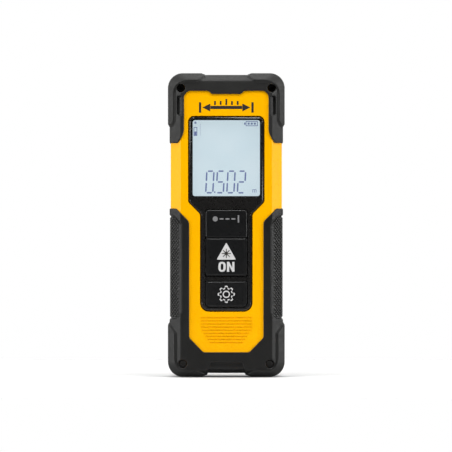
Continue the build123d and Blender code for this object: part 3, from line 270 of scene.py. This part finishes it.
GRIP_GUARD_PAINTED_DARKER = rubber(
    "guard rubber", (0.0080, 0.0080, 0.0076), (0.0060, 0.0060, 0.0057), (0.030, 0.030, 0.029), 0.46, 0.24
)
# The studs' rubber is the grip guard's rubber painted lighter, as painted light on the side panels that face
# the lamps. Its paler specks are dust.
GRIP_STUDS_PAINTED_LIGHTER = rubber("grip stud rubber painted lighter", (0.030, 0.030, 0.029), (0.024, 0.024, 0.023), (0.12, 0.12, 0.118), 0.42, 0.30)
SILICONE = rubber("silicone", (0.045, 0.045, 0.048), (0.036, 0.036, 0.039), (0.07, 0.07, 0.07), 0.6)
FOAM = rubber("foam", (0.018, 0.018, 0.019), (0.012, 0.012, 0.013), (0.04, 0.04, 0.04), 0.85)
STEEL = brushed("steel", (0.62, 0.62, 0.61), (0.48, 0.48, 0.48), 0.3, (1, 1, 0.08))
SCREW_STEEL = brushed("blackened steel", (0.045, 0.044, 0.043), (0.026, 0.0255, 0.025), 0.34, (1, 1, 1))
BRASS = brushed("brass", (0.72, 0.50, 0.20), (0.60, 0.40, 0.15), 0.28, (1, 1, 0.1))
BOARD = circuit_board("circuit board")
LCD = lcd_face("lcd")
WINDOW = clear("display window", (0.985, 0.99, 0.995), 1.35)
END_WINDOW = clear("end window", (0.30, 0.10, 0.12), 1.5)
LENS = clear("coated lens", (0.72, 0.80, 0.95), 1.7)
FLEX = moulded("flex film", (0.42, 0.17, 0.025), (0.36, 0.14, 0.02), 0.35, 0.3, 0.006)
CELL_LEFT = cell_jacket("left cell jacket", 21.1 * MM, 64.7 * MM)
CELL_RIGHT = cell_jacket("right cell jacket", 60.4 * MM, 16.8 * MM)
INK_WHITE = printed("key ink", (0.60, 0.60, 0.60), (0.53, 0.53, 0.53))
INK_GREY = printed("grey ink", (0.21, 0.21, 0.215), (0.17, 0.17, 0.175))
INK_LABEL = printed("label ink", (0.10, 0.10, 0.105), (0.08, 0.08, 0.085))
INK_BLACK = printed("black ink", (0.016, 0.013, 0.010), (0.011, 0.009, 0.007))
SEGMENT = printed(
    "lcd segment", (0.050, 0.065, 0.120), (0.040, 0.055, 0.105), Emission_Color=(0.115, 0.145, 0.30, 1),
    Emission_Strength=0.9,
)

NODE_LOOKS = {
    "front_housing": YELLOW, "rear_housing": YELLOW,
    "front_top_guard": TOP_GUARD_PAINTED_LIGHTER, "rear_top_guard": TOP_GUARD_PAINTED_LIGHTER,
    "front_grip_guard": GRIP_GUARD_PAINTED_DARKER, "rear_grip_guard": GRIP_GUARD_PAINTED_DARKER,
    "display_bezel": BEZEL_BLACK, "display_window": WINDOW, "display_gasket": FOAM, "lcd_panel": LCD,
    "lcd_backlight": WHITE_PLASTIC, "lcd_holder": WHITE_PLASTIC,
    "lcd_flex": FLEX, "flex_connector": INNER_BLACK,
    "marker_pad": KEY_BLACK, "measure_button": KEY_BLACK, "settings_button": KEY_BLACK,
    "keypad_mat": SILICONE, "switch_domes": STEEL, "main_board": BOARD, "sensor_board": BOARD,
    "processor_chip": CHIP_BLACK, "board_components": CHIP_BLACK, "shield_can": STEEL, "buzzer": INNER_BLACK,
    "optical_bench": INNER_BLACK, "laser_barrel": BRASS, "laser_diode": STEEL, "collimator_lens": LENS,
    "receiver_lens": LENS, "receiver_baffle": FOAM, "receiver_sensor": STEEL,
    "optics_frame": INNER_BLACK, "optics_window": END_WINDOW,
    "battery_left": CELL_LEFT, "battery_right": CELL_RIGHT, "battery_springs": STEEL, "contact_plates": STEEL,
    "battery_door": DOOR_BLACK, "door_pads": FOAM, "case_screws": SCREW_STEEL, "board_screws": STEEL,
    "bench_screws": STEEL, "housing_seal": SILICONE, "rear_label": LABEL,
}
for node_name, material in NODE_LOOKS.items():
    NODES[node_name].data.materials.clear()
    NODES[node_name].data.materials.append(material)


# ---------------------------------------------------------------- softened edges
GRAIN_SIZES = {
    "front_top_guard": 0.24, "rear_top_guard": 0.26, "front_grip_guard": 0.24, "rear_grip_guard": 0.26,
    "measure_button": 0.16, "settings_button": 0.16, "marker_pad": 0.16,
}
EDGE_WIDTHS = {
    "front_housing": 0.10, "rear_housing": 0.14, "display_bezel": 0.14,
    "battery_door": 0.18, "optics_frame": 0.12,
    "optical_bench": 0.15, "case_screws": 0.08, "shield_can": 0.10, "buzzer": 0.10, "lcd_holder": 0.12,
}


def mould_soft(node, grain):
    """Gives a moulding the soft edges of rubber, by remaking its surface at a fine grain and relaxing it."""
    shown = NODES[node]
    surface = shown.modifiers.new("surface", "REMESH")
    surface.mode = "VOXEL"
    surface.voxel_size = grain * MM
    surface.use_smooth_shade = True
    relaxed = shown.modifiers.new("relaxed", "SMOOTH")
    relaxed.factor = 0.5
    relaxed.iterations = 4
    lighter = shown.modifiers.new("lighter", "DECIMATE")
    lighter.ratio = 0.35


def soften(node, width):
    """Rounds a node's sharp edges by modifiers, and leaves its mesh as it is."""
    shown = NODES[node]
    joined = shown.modifiers.new("joined", "WELD")
    joined.merge_threshold = 0.001 * MM
    flats = shown.modifiers.new("flats", "DECIMATE")
    flats.decimate_type = "DISSOLVE"
    flats.angle_limit = radians(0.2)
    edges = shown.modifiers.new("edges", "BEVEL")
    edges.width = width * MM
    edges.segments = 3
    edges.limit_method = "ANGLE"
    edges.angle_limit = radians(34)
    edges.miter_outer = "MITER_ARC"
    shading = shown.modifiers.new("shading", "WEIGHTED_NORMAL")
    shading.keep_sharp = False


for node_name, grain in GRAIN_SIZES.items():
    mould_soft(node_name, grain)
for node_name, width in EDGE_WIDTHS.items():
    soften(node_name, width)


# ---------------------------------------------------------------- mesh helpers
def piece(name, mesh_data, material, body):
    """A new object from a bmesh, with its material, body and slot."""
    bmesh.ops.recalc_face_normals(mesh_data, faces=mesh_data.faces)
    mesh = bpy.data.meshes.new(name)
    mesh_data.to_mesh(mesh)
    mesh_data.free()
    mesh.materials.append(material)
    made = bpy.data.objects.new(name, mesh)
    SCENE.collection.objects.link(made)
    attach(made, body)
    return made


def add_plate(mesh_data, loop, front_y, thickness):
    """A closed flat plate from an (x, z) loop in millimetres. Its front is at front_y, in metres."""
    layers = []
    for y in (front_y, front_y + thickness * MM):
        layers.append([mesh_data.verts.new((x * MM, y, z * MM)) for x, z in loop])
    front, back = layers
    mesh_data.faces.new(front)
    mesh_data.faces.new(back[::-1])
    for index in range(len(loop)):
        after = (index + 1) % len(loop)
        mesh_data.faces.new((front[index], back[index], back[after], front[after]))


def add_ring(mesh_data, outer, inner, front_y, thickness):
    """A closed flat ring between two loops of the same count."""
    back_y = front_y + thickness * MM
    rows = []
    for loop, y in ((outer, front_y), (inner, front_y), (inner, back_y), (outer, back_y)):
        rows.append([mesh_data.verts.new((x * MM, y, z * MM)) for x, z in loop])
    count = len(outer)
    for row in range(4):
        following = rows[(row + 1) % 4]
        for index in range(count):
            after = (index + 1) % count
            mesh_data.faces.new((rows[row][index], rows[row][after], following[after], following[index]))


def rectangle(low_x, high_x, low_z, high_z):
    return [(low_x, low_z), (high_x, low_z), (high_x, high_z), (low_x, high_z)]


def superellipse(middle, half_x, half_z, power, count=48):
    """A rounded loop that goes from an ellipse to a rectangle as its power grows."""
    loop = []
    for index in range(count):
        angle = 2 * pi * index / count
        across = abs(cos(angle)) ** (2 / power) * (1 if cos(angle) >= 0 else -1)
        up = abs(sin(angle)) ** (2 / power) * (1 if sin(angle) >= 0 else -1)
        loop.append((middle[0] + half_x * across, middle[1] + half_z * up))
    return loop


def rounded_corners(corners, radius, steps=4):
    """A loop through the corners, each cut by a small arc."""
    loop = []
    count = len(corners)
    for index, corner in enumerate(corners):
        here = Vector(corner)
        to_last = (Vector(corners[index - 1]) - here).normalized()
        to_next = (Vector(corners[(index + 1) % count]) - here).normalized()
        start, end = here + to_last * radius, here + to_next * radius
        for step in range(steps + 1):
            t = step / steps
            point = start * (1 - t) ** 2 + here * 2 * t * (1 - t) + end * t**2
            loop.append((point.x, point.y))
    return loop


INK = 0.03
LAYER_STEP = 0.001


def front_of(node):
    """The y of a node's front, lifted by the ink's thickness."""
    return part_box(node)[0].y - INK * MM


# ---------------------------------------------------------------- key icons
TRIANGLE = [(-3.75, 45.55), (3.75, 45.55), (0.0, 52.2)]
TRIANGLE_ROUNDING = 0.45
LETTER_LOW, LETTER_HIGH = 40.85, 44.7
LETTER_HALF = (LETTER_HIGH - LETTER_LOW) / 2
O_MIDDLE = (-1.65, (LETTER_LOW + LETTER_HIGH) / 2)
O_HALF, O_HOLE_HALF = 1.42, 0.52
O_STROKE = 0.68
O_SQUARENESS = 2.7
N_LEFT, N_RIGHT, N_STEM = 0.25, 3.15, 0.86
N_NOTCH = 1.55
key_front = front_of("measure_button")

marks = bmesh.new()
add_plate(marks, rounded_corners(TRIANGLE, TRIANGLE_ROUNDING), key_front, INK)
add_ring(
    marks,
    superellipse(O_MIDDLE, O_HALF, LETTER_HALF, O_SQUARENESS),
    superellipse(O_MIDDLE, O_HOLE_HALF, LETTER_HALF - O_STROKE, O_SQUARENESS),
    key_front,
    INK,
)
add_plate(
    marks,
    [
        (N_LEFT, LETTER_LOW), (N_LEFT + N_STEM, LETTER_LOW), (N_LEFT + N_STEM, LETTER_HIGH - N_NOTCH),
        (N_RIGHT - N_STEM, LETTER_LOW), (N_RIGHT, LETTER_LOW), (N_RIGHT, LETTER_HIGH),
        (N_RIGHT - N_STEM, LETTER_HIGH), (N_RIGHT - N_STEM, LETTER_LOW + N_NOTCH),
        (N_LEFT + N_STEM, LETTER_HIGH), (N_LEFT, LETTER_HIGH),
    ],
    key_front,
    INK,
)
piece("measure_icon", marks, INK_WHITE, "measure_key")

STAR_MIDDLE = (0.0, 47.95)
STAR_LIFT = 0.02
STAR_DOT = 0.6
STAR_RAYS = 8
RAY_NEAR, RAY_FAR = 0.55, 1.85
RAY_HALF, RAY_TAPER = 0.19, 0.7
star = bmesh.new()
star_front = key_front - STAR_LIFT * MM
add_plate(star, superellipse(STAR_MIDDLE, STAR_DOT, STAR_DOT, 2, 20), star_front, INK + STAR_LIFT)
for index in range(STAR_RAYS):
    angle = 2 * pi * index / STAR_RAYS
    along = Vector((cos(angle), sin(angle)))
    side = Vector((-along.y, along.x)) * RAY_HALF
    near, far = Vector(STAR_MIDDLE) + along * RAY_NEAR, Vector(STAR_MIDDLE) + along * RAY_FAR
    ray = [near - side, far - side * RAY_TAPER, far + side * RAY_TAPER, near + side]
    ray_front = star_front - LAYER_STEP * MM * (1 + index)
    add_plate(star, [(point.x, point.y) for point in ray], ray_front, INK + STAR_LIFT)
piece("measure_icon_star", star, INK_BLACK, "measure_key")

GEAR_MIDDLE = (0.0, 32.1)
GEAR_TEETH = 8
GEAR_TIP, GEAR_ROOT, GEAR_LINE = 3.3, 2.5, 0.46
GEAR_STEPS = 24
TOOTH_SQUARENESS, TOOTH_WIDENING = 1.9, 0.1
HUB_OUTER, HUB_INNER = 1.42, 0.98


def gear_loop(inset):
    """The gear's outline, moved inwards: flat-topped teeth with soft flanks."""
    loop = []
    for index in range(GEAR_TEETH * GEAR_STEPS):
        angle = 2 * pi * index / (GEAR_TEETH * GEAR_STEPS) + pi / 2
        swing = TOOTH_SQUARENESS * cos(GEAR_TEETH * (angle - pi / 2)) + TOOTH_WIDENING
        wave = 0.5 + 0.5 * max(-1.0, min(1.0, swing))
        soft = wave * wave * (3 - 2 * wave)
        radius = GEAR_ROOT + (GEAR_TIP - GEAR_ROOT) * soft - inset
        loop.append((GEAR_MIDDLE[0] + radius * cos(angle), GEAR_MIDDLE[1] + radius * sin(angle)))
    return loop


gear = bmesh.new()
settings_front = front_of("settings_button")
add_ring(gear, gear_loop(0), gear_loop(GEAR_LINE), settings_front, INK)
add_ring(
    gear,
    superellipse(GEAR_MIDDLE, HUB_OUTER, HUB_OUTER, 2, 40),
    superellipse(GEAR_MIDDLE, HUB_INNER, HUB_INNER, 2, 40),
    settings_front,
    INK,
)
piece("settings_icon", gear, INK_WHITE, "settings_key")

# ---------------------------------------------------------------- range, width and label marks
BEAM_Z = 61.35
BEAM_DOT_X, BEAM_DOT_RADIUS = -4.3, 1.0
DASH_START, DASH_PITCH, DASH_LENGTH, DASH_HALF = -2.6, 2.3, 1.5, 0.27
WALL_LEFT, WALL_RIGHT, WALL_HALF = 4.4, 5.0, 1.45
beam = bmesh.new()
pad_front = front_of("marker_pad")
dot = superellipse((BEAM_DOT_X, BEAM_Z), BEAM_DOT_RADIUS, BEAM_DOT_RADIUS, 2, 28)
add_plate(beam, dot, pad_front, INK)
for index in range(3):
    left = DASH_START + DASH_PITCH * index
    dash = rectangle(left, left + DASH_LENGTH, BEAM_Z - DASH_HALF, BEAM_Z + DASH_HALF)
    add_plate(beam, dash, pad_front, INK)
add_plate(beam, rectangle(WALL_LEFT, WALL_RIGHT, BEAM_Z - WALL_HALF, BEAM_Z + WALL_HALF), pad_front, INK)
piece("range_mark", beam, INK_GREY, "housing")

SPAN_Z = 104.6
SPAN_HALF = 10.6
SPAN_BAR = 0.85
SPAN_BAR_RISE = 2.0
TIP_GAP = 0.5
HEAD_LENGTH, HEAD_HALF = 3.0, 1.5
SHAFT_HALF, SHAFT_GAP = 0.6, 0.1
TICK_PITCH, TICK_HALF = 2.2, 0.33
TICK_FOOT, TICK_TOP, MIDDLE_TICK_TOP = 1.0, 2.5, 3.3
HOUSING_FRONT = -11.9
span = bmesh.new()
span_front = HOUSING_FRONT * MM - INK * MM
tip_reach = SPAN_HALF - SPAN_BAR - TIP_GAP
root_reach = tip_reach - HEAD_LENGTH
for side in (-1, 1):
    bar = sorted((side * SPAN_HALF, side * (SPAN_HALF - SPAN_BAR)))
    add_plate(span, rectangle(*bar, SPAN_Z - SPAN_BAR_RISE, SPAN_Z + SPAN_BAR_RISE), span_front, INK)
    tip, root = side * tip_reach, side * root_reach
    head = [(tip, SPAN_Z), (root, SPAN_Z + HEAD_HALF), (root, SPAN_Z - HEAD_HALF)]
    add_plate(span, head, span_front, INK)
shaft_reach = root_reach - SHAFT_GAP
shaft = rectangle(-shaft_reach, shaft_reach, SPAN_Z - SHAFT_HALF, SPAN_Z + SHAFT_HALF)
add_plate(span, shaft, span_front, INK)
for index in range(-2, 3):
    tick_x = TICK_PITCH * index
    tick_top = SPAN_Z + (MIDDLE_TICK_TOP if index == 0 else TICK_TOP)
    tick = rectangle(tick_x - TICK_HALF, tick_x + TICK_HALF, SPAN_Z + TICK_FOOT, tick_top)
    add_plate(span, tick, span_front, INK)
piece("span_mark", span, INK_BLACK, "housing")

LABEL_SINK = 0.01
BORDER_INSET, BORDER_LINE = 0.7, 0.2
RULE_COUNT, RULE_START, RULE_PITCH, RULE_HEIGHT = 4, 3.4, 1.7, 0.16
RULE_INSET, RULE_ENDS = 1.9, (4.0, 2.5)
SQUARE = (6.0, 10.0, 79.5, 83.5)
label_low, label_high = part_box("rear_label")
label_y = label_high.y - LABEL_SINK * MM
label_half = label_high.x / MM
label_bottom, label_top = label_low.z / MM, label_high.z / MM
rules = bmesh.new()


def add_frame(mesh_data, low_x, high_x, low_z, high_z, line, front_y):
    """A rectangle drawn as a line of ink, measured at its outer edge."""
    inner = rectangle(low_x + line, high_x - line, low_z + line, high_z - line)
    add_ring(mesh_data, rectangle(low_x, high_x, low_z, high_z), inner, front_y, INK)


border_half = label_half - BORDER_INSET
border_low, border_high = label_bottom + BORDER_INSET, label_top - BORDER_INSET
add_frame(rules, -border_half, border_half, border_low, border_high, BORDER_LINE, label_y)
for index in range(RULE_COUNT):
    rule_z = label_top - RULE_START - RULE_PITCH * index
    rule = rectangle(-label_half + RULE_INSET, RULE_ENDS[index % 2], rule_z, rule_z + RULE_HEIGHT)
    add_plate(rules, rule, label_y, INK)
add_frame(rules, *SQUARE, BORDER_LINE, label_y)
piece("label_rules", rules, INK_LABEL, "housing")

# ---------------------------------------------------------------- display segments
lcd_front = front_of("lcd_panel")
DIGIT_LOW, DIGIT_HIGH = 71.5, 79.9
DIGIT_WIDTH = 2.75
DIGIT_PLACES = [("0", -8.0), ("5", -3.9), ("0", 0.2), ("2", 4.3)]
STROKE, STROKE_GAP = 0.58, 0.3
SLANT = 0.055
SEGMENTS = {"0": "abcdef", "2": "abdeg", "5": "acdfg"}
segments = bmesh.new()


def slanted(loop):
    """Leans a loop to the right, from the digits' foot."""
    return [(x + SLANT * (z - DIGIT_LOW), z) for x, z in loop]


def add_bar(start, end):
    """One display segment with pointed ends, between two corners of a digit."""
    start, end = Vector(start), Vector(end)
    along = (end - start).normalized()
    side = Vector((-along.y, along.x)) * STROKE / 2
    gap, point = along * STROKE_GAP, along * STROKE / 2
    near, far = start + gap, end - gap
    loop = [
        near, near + point - side, far - point - side, far, far - point + side, near + point + side
    ]
    add_plate(segments, slanted([(corner.x, corner.y) for corner in loop]), lcd_front, INK)


def add_digit(figure, left, right):
    middle = (DIGIT_LOW + DIGIT_HIGH) / 2
    corners = {
        "a": ((left, DIGIT_HIGH), (right, DIGIT_HIGH)), "b": ((right, DIGIT_HIGH), (right, middle)),
        "c": ((right, middle), (right, DIGIT_LOW)), "d": ((left, DIGIT_LOW), (right, DIGIT_LOW)),
        "e": ((left, middle), (left, DIGIT_LOW)), "f": ((left, DIGIT_HIGH), (left, middle)),
        "g": ((left, middle), (right, middle)),
    }
    for segment in SEGMENTS[figure]:
        add_bar(*corners[segment])


for figure, left in DIGIT_PLACES:
    add_digit(figure, left, left + DIGIT_WIDTH)
POINT_MIDDLE, POINT_HALF = (-4.5, 71.75), 0.28
add_plate(segments, superellipse(POINT_MIDDLE, POINT_HALF, POINT_HALF, 4, 16), lcd_front, INK)

# The unit: a low m, as three legs under a bar.
UNIT_LEFT, UNIT_LOW = 10.15, 71.6
UNIT_LINE, UNIT_PITCH = 0.22, 0.66
LEG_HEIGHT, BAR_FOOT = 0.95, 1.0
for index in range(3):
    left = UNIT_LEFT + UNIT_PITCH * index
    add_plate(segments, rectangle(left, left + UNIT_LINE, UNIT_LOW, UNIT_LOW + LEG_HEIGHT), lcd_front, INK)
unit_right = UNIT_LEFT + 2 * UNIT_PITCH + UNIT_LINE
unit_bar = rectangle(UNIT_LEFT, unit_right, UNIT_LOW + BAR_FOOT, UNIT_LOW + BAR_FOOT + UNIT_LINE)
add_plate(segments, unit_bar, lcd_front, INK)

# The charge symbol at the top right: a cell with a tip and three blocks. Boxes are (left, right, low, high).
SYMBOL_LINE = 0.25
CHARGE_BOX = (7.55, 12.2, 97.4, 99.3)
CHARGE_TIP = (6.95, 7.45, 97.95, 98.75)
BLOCK_LEFTS, BLOCK_WIDTH = (8.3, 9.5, 10.7), 0.75
BLOCK_LOW, BLOCK_HIGH = 97.98, 98.72
add_frame(segments, *CHARGE_BOX, SYMBOL_LINE, lcd_front)
add_plate(segments, rectangle(*CHARGE_TIP), lcd_front, INK)
for left in BLOCK_LEFTS:
    add_plate(segments, rectangle(left, left + BLOCK_WIDTH, BLOCK_LOW, BLOCK_HIGH), lcd_front, INK)

# The reference symbols at the top left: a half-filled box under a spark, beside a broken line.
REFERENCE_BOX = (-12.7, -11.3, 93.6, 97.0)
REFERENCE_FILL = (-12.4, -11.6, 93.9, 95.3)
add_frame(segments, *REFERENCE_BOX, SYMBOL_LINE, lcd_front)
add_plate(segments, rectangle(*REFERENCE_FILL), lcd_front, INK)
SPARK_MIDDLE = Vector((-12.0, 98.7))
SPARK_RAYS, SPARK_REACH, SPARK_HALF = 4, 0.5, 0.09
for index in range(SPARK_RAYS):
    angle = pi * index / SPARK_RAYS
    along = Vector((cos(angle), sin(angle))) * SPARK_REACH
    side = Vector((-sin(angle), cos(angle))) * SPARK_HALF
    ray = [SPARK_MIDDLE + along * end + side * edge for end, edge in ((-1, -1), (1, -1), (1, 1), (-1, 1))]
    ray_front = lcd_front - LAYER_STEP * MM * index
    add_plate(segments, [(corner.x, corner.y) for corner in ray], ray_front, INK)
BROKEN_LEFT, BROKEN_LOW = -10.2, 93.8
BROKEN_PARTS, BROKEN_PITCH, BROKEN_LENGTH = 6, 0.8, 0.35
BROKEN_LINE = 0.18
for index in range(BROKEN_PARTS):
    low = BROKEN_LOW + BROKEN_PITCH * index
    part = rectangle(BROKEN_LEFT, BROKEN_LEFT + BROKEN_LINE, low, low + BROKEN_LENGTH)
    add_plate(segments, part, lcd_front, INK)
piece("display_segments", segments, SEGMENT, "housing")


# ---------------------------------------------------------------- grip studs
PANEL_LOW, PANEL_HIGH = 23.4, 61.9
STUD_PITCH_Z, STUD_PITCH_S = 1.45, 1.30
STUD_HALF_Z, STUD_HALF_S = 0.66, 0.52
STUD_RISE, STUD_SINK, STUD_TOP = 0.46, 0.2, 0.42
STUD_ROOT = 1.12
SIDE_MARGIN = 1.6
PROFILE_Z = 42.0
PROFILE_STEPS = 260
PROFILE_REACH = 11.8
RAY_START = 40.0


def guard_surface():
    """The grip guards as one ray target."""
    joined = bmesh.new()
    for node in ("front_grip_guard", "rear_grip_guard"):
        joined.from_mesh(NODES[node].data)
    tree = BVHTree.FromBMesh(joined)
    joined.free()
    return tree


def panel_profile():
    """The panel's section at mid height, as (x, y) points from front to back on the right side."""
    surface = guard_surface()
    reach = PROFILE_REACH * MM
    points = []
    for step in range(PROFILE_STEPS + 1):
        y = -reach + 2 * reach * step / PROFILE_STEPS
        hit = surface.ray_cast(Vector((RAY_START * MM, y, PROFILE_Z * MM)), Vector((-1, 0, 0)))[0]
        if hit is not None:
            points.append(Vector((hit.x, hit.y)))
    return points


def along_profile(points, distance):
    """The place and outward direction a distance along the profile."""
    travelled = 0.0
    for start, end in zip(points, points[1:]):
        step = (end - start).length
        if travelled + step >= distance:
            place = start.lerp(end, (distance - travelled) / step)
            tangent = (end - start).normalized()
            return place, Vector((tangent.y, -tangent.x))
        travelled += step
    return None


def add_stud(mesh_data, place, outward, z, side):
    """A small diamond stud: a square pyramid with its top cut off, sunk into the panel."""
    tangent = Vector((-outward.y, outward.x))
    rings = []
    for rise, scale in ((-STUD_SINK, STUD_ROOT), (0.0, 1.0), (STUD_RISE, STUD_TOP)):
        ring = []
        for across, up in ((1, 0), (0, 1), (-1, 0), (0, -1)):
            flat = place + outward * rise * MM + tangent * across * STUD_HALF_S * scale * MM
            ring.append(mesh_data.verts.new((side * flat.x, flat.y, z + up * STUD_HALF_Z * scale * MM)))
        rings.append(ring)
    mesh_data.faces.new(rings[0])
    mesh_data.faces.new(rings[-1][::-1])
    for lower, upper in zip(rings, rings[1:]):
        for index in range(4):
            after = (index + 1) % 4
            mesh_data.faces.new((lower[index], lower[after], upper[after], upper[index]))


profile = panel_profile()
profile_length = sum((end - start).length for start, end in zip(profile, profile[1:]))
for side, side_name in ((-1, "left"), (1, "right")):
    studs = bmesh.new()
    columns = int((profile_length - SIDE_MARGIN * MM) / (STUD_PITCH_S * MM))
    margin = (profile_length - (columns - 1) * STUD_PITCH_S * MM) / 2
    rows = int((PANEL_HIGH - PANEL_LOW) / (STUD_PITCH_Z / 2))
    for row in range(rows):
        z = (PANEL_LOW + (row + 0.5) * STUD_PITCH_Z / 2) * MM
        for column in range(columns - row % 2):
            distance = margin + (column + 0.5 * (row % 2)) * STUD_PITCH_S * MM
            place, outward = along_profile(profile, distance)
            add_stud(studs, place, outward, z, side)
    piece("grip_studs_" + side_name, studs, GRIP_STUDS_PAINTED_LIGHTER, "housing")

# ---------------------------------------------------------------- stage, camera and light
FLOOR_HALF = 0.2
FLOOR_GAP = 0.0002
FLOOR_Z = cad_bounds[0][2] - FLOOR_GAP
white = Look("stage white", roughness=0.9)
white.colour(white.blend(white.noise(60.0), (0.60, 0.60, 0.60), (0.62, 0.62, 0.62)))
white.shader.inputs["Emission Color"].default_value = (1, 1, 1, 1)
white.shader.inputs["Emission Strength"].default_value = 0.05
floor_mesh = bpy.data.meshes.new("floor")
floor_corners = [
    (x * FLOOR_HALF, y * FLOOR_HALF, FLOOR_Z) for x, y in ((-1, -1), (1, -1), (1, 1), (-1, 1))
]
floor_mesh.from_pydata(floor_corners, [], [(0, 1, 2, 3)])
floor_mesh.materials.append(white.material)
floor = bpy.data.objects.new("floor", floor_mesh)
SCENE.collection.objects.link(floor)

OBJECT_MIDDLE = Vector((0, 0, (cad_bounds[0][2] + cad_bounds[1][2]) / 2))
CAMERA_DISTANCE = 1.6
VIEW_WIDTH = 0.17535
FRONT_DEPTH = 0.0119
camera_data = bpy.data.cameras.new("camera")
camera_data.sensor_width = 36
camera_data.lens = camera_data.sensor_width * (CAMERA_DISTANCE - FRONT_DEPTH) / VIEW_WIDTH
camera = bpy.data.objects.new("camera", camera_data)
camera.location = OBJECT_MIDDLE + Vector((-0.00012, -CAMERA_DISTANCE, -0.0004))
camera.rotation_euler = (pi / 2, 0, 0)
SCENE.collection.objects.link(camera)
SCENE.camera = camera


def soft_light(name, azimuth, elevation, distance, size, power):
    """A softbox that faces the object. Azimuth 0 is in front of it, and 90 is on its right."""
    flat = distance * cos(radians(elevation))
    place = OBJECT_MIDDLE + Vector(
        (flat * sin(radians(azimuth)), -flat * cos(radians(azimuth)), distance * sin(radians(elevation)))
    )
    data = bpy.data.lights.new(name, "AREA")
    data.shape = "RECTANGLE"
    data.size, data.size_y = size
    data.energy = power
    light = bpy.data.objects.new(name, data)
    light.location = place
    light.rotation_euler = (OBJECT_MIDDLE - place).to_track_quat("-Z", "Y").to_euler()
    SCENE.collection.objects.link(light)


for side, side_name in ((-1, "left"), (1, "right")):
    soft_light(side_name + " key", side * 74, 14, 0.9, (0.3, 0.7), 6.95)
    soft_light(side_name + " wall", side * 84, -4, 0.8, (0.2, 0.9), 0.2)
    soft_light(side_name + " rear", side * 140, 25, 0.9, (0.5, 0.6), 3.6)
soft_light("top", 0, 70, 0.42, (0.4, 0.16), 2.4)
soft_light("crest", 180, 60, 0.9, (0.7, 0.4), 2.2)

world = bpy.data.worlds.new("studio")
world.use_nodes = True
world_nodes = world.node_tree.nodes
room = world_nodes["Background"]
room.inputs["Color"].default_value = (1, 1, 1, 1)
room.inputs["Strength"].default_value = 0.02
sweep = world_nodes.new("ShaderNodeBackground")
sweep.inputs["Color"].default_value = (1, 1, 1, 1)
rays = world_nodes.new("ShaderNodeLightPath")
either = world_nodes.new("ShaderNodeMixShader")
world.node_tree.links.new(rays.outputs["Is Camera Ray"], either.inputs["Fac"])
world.node_tree.links.new(room.outputs[0], either.inputs[1])
world.node_tree.links.new(sweep.outputs[0], either.inputs[2])
world.node_tree.links.new(either.outputs[0], world_nodes["World Output"].inputs["Surface"])
SCENE.world = world
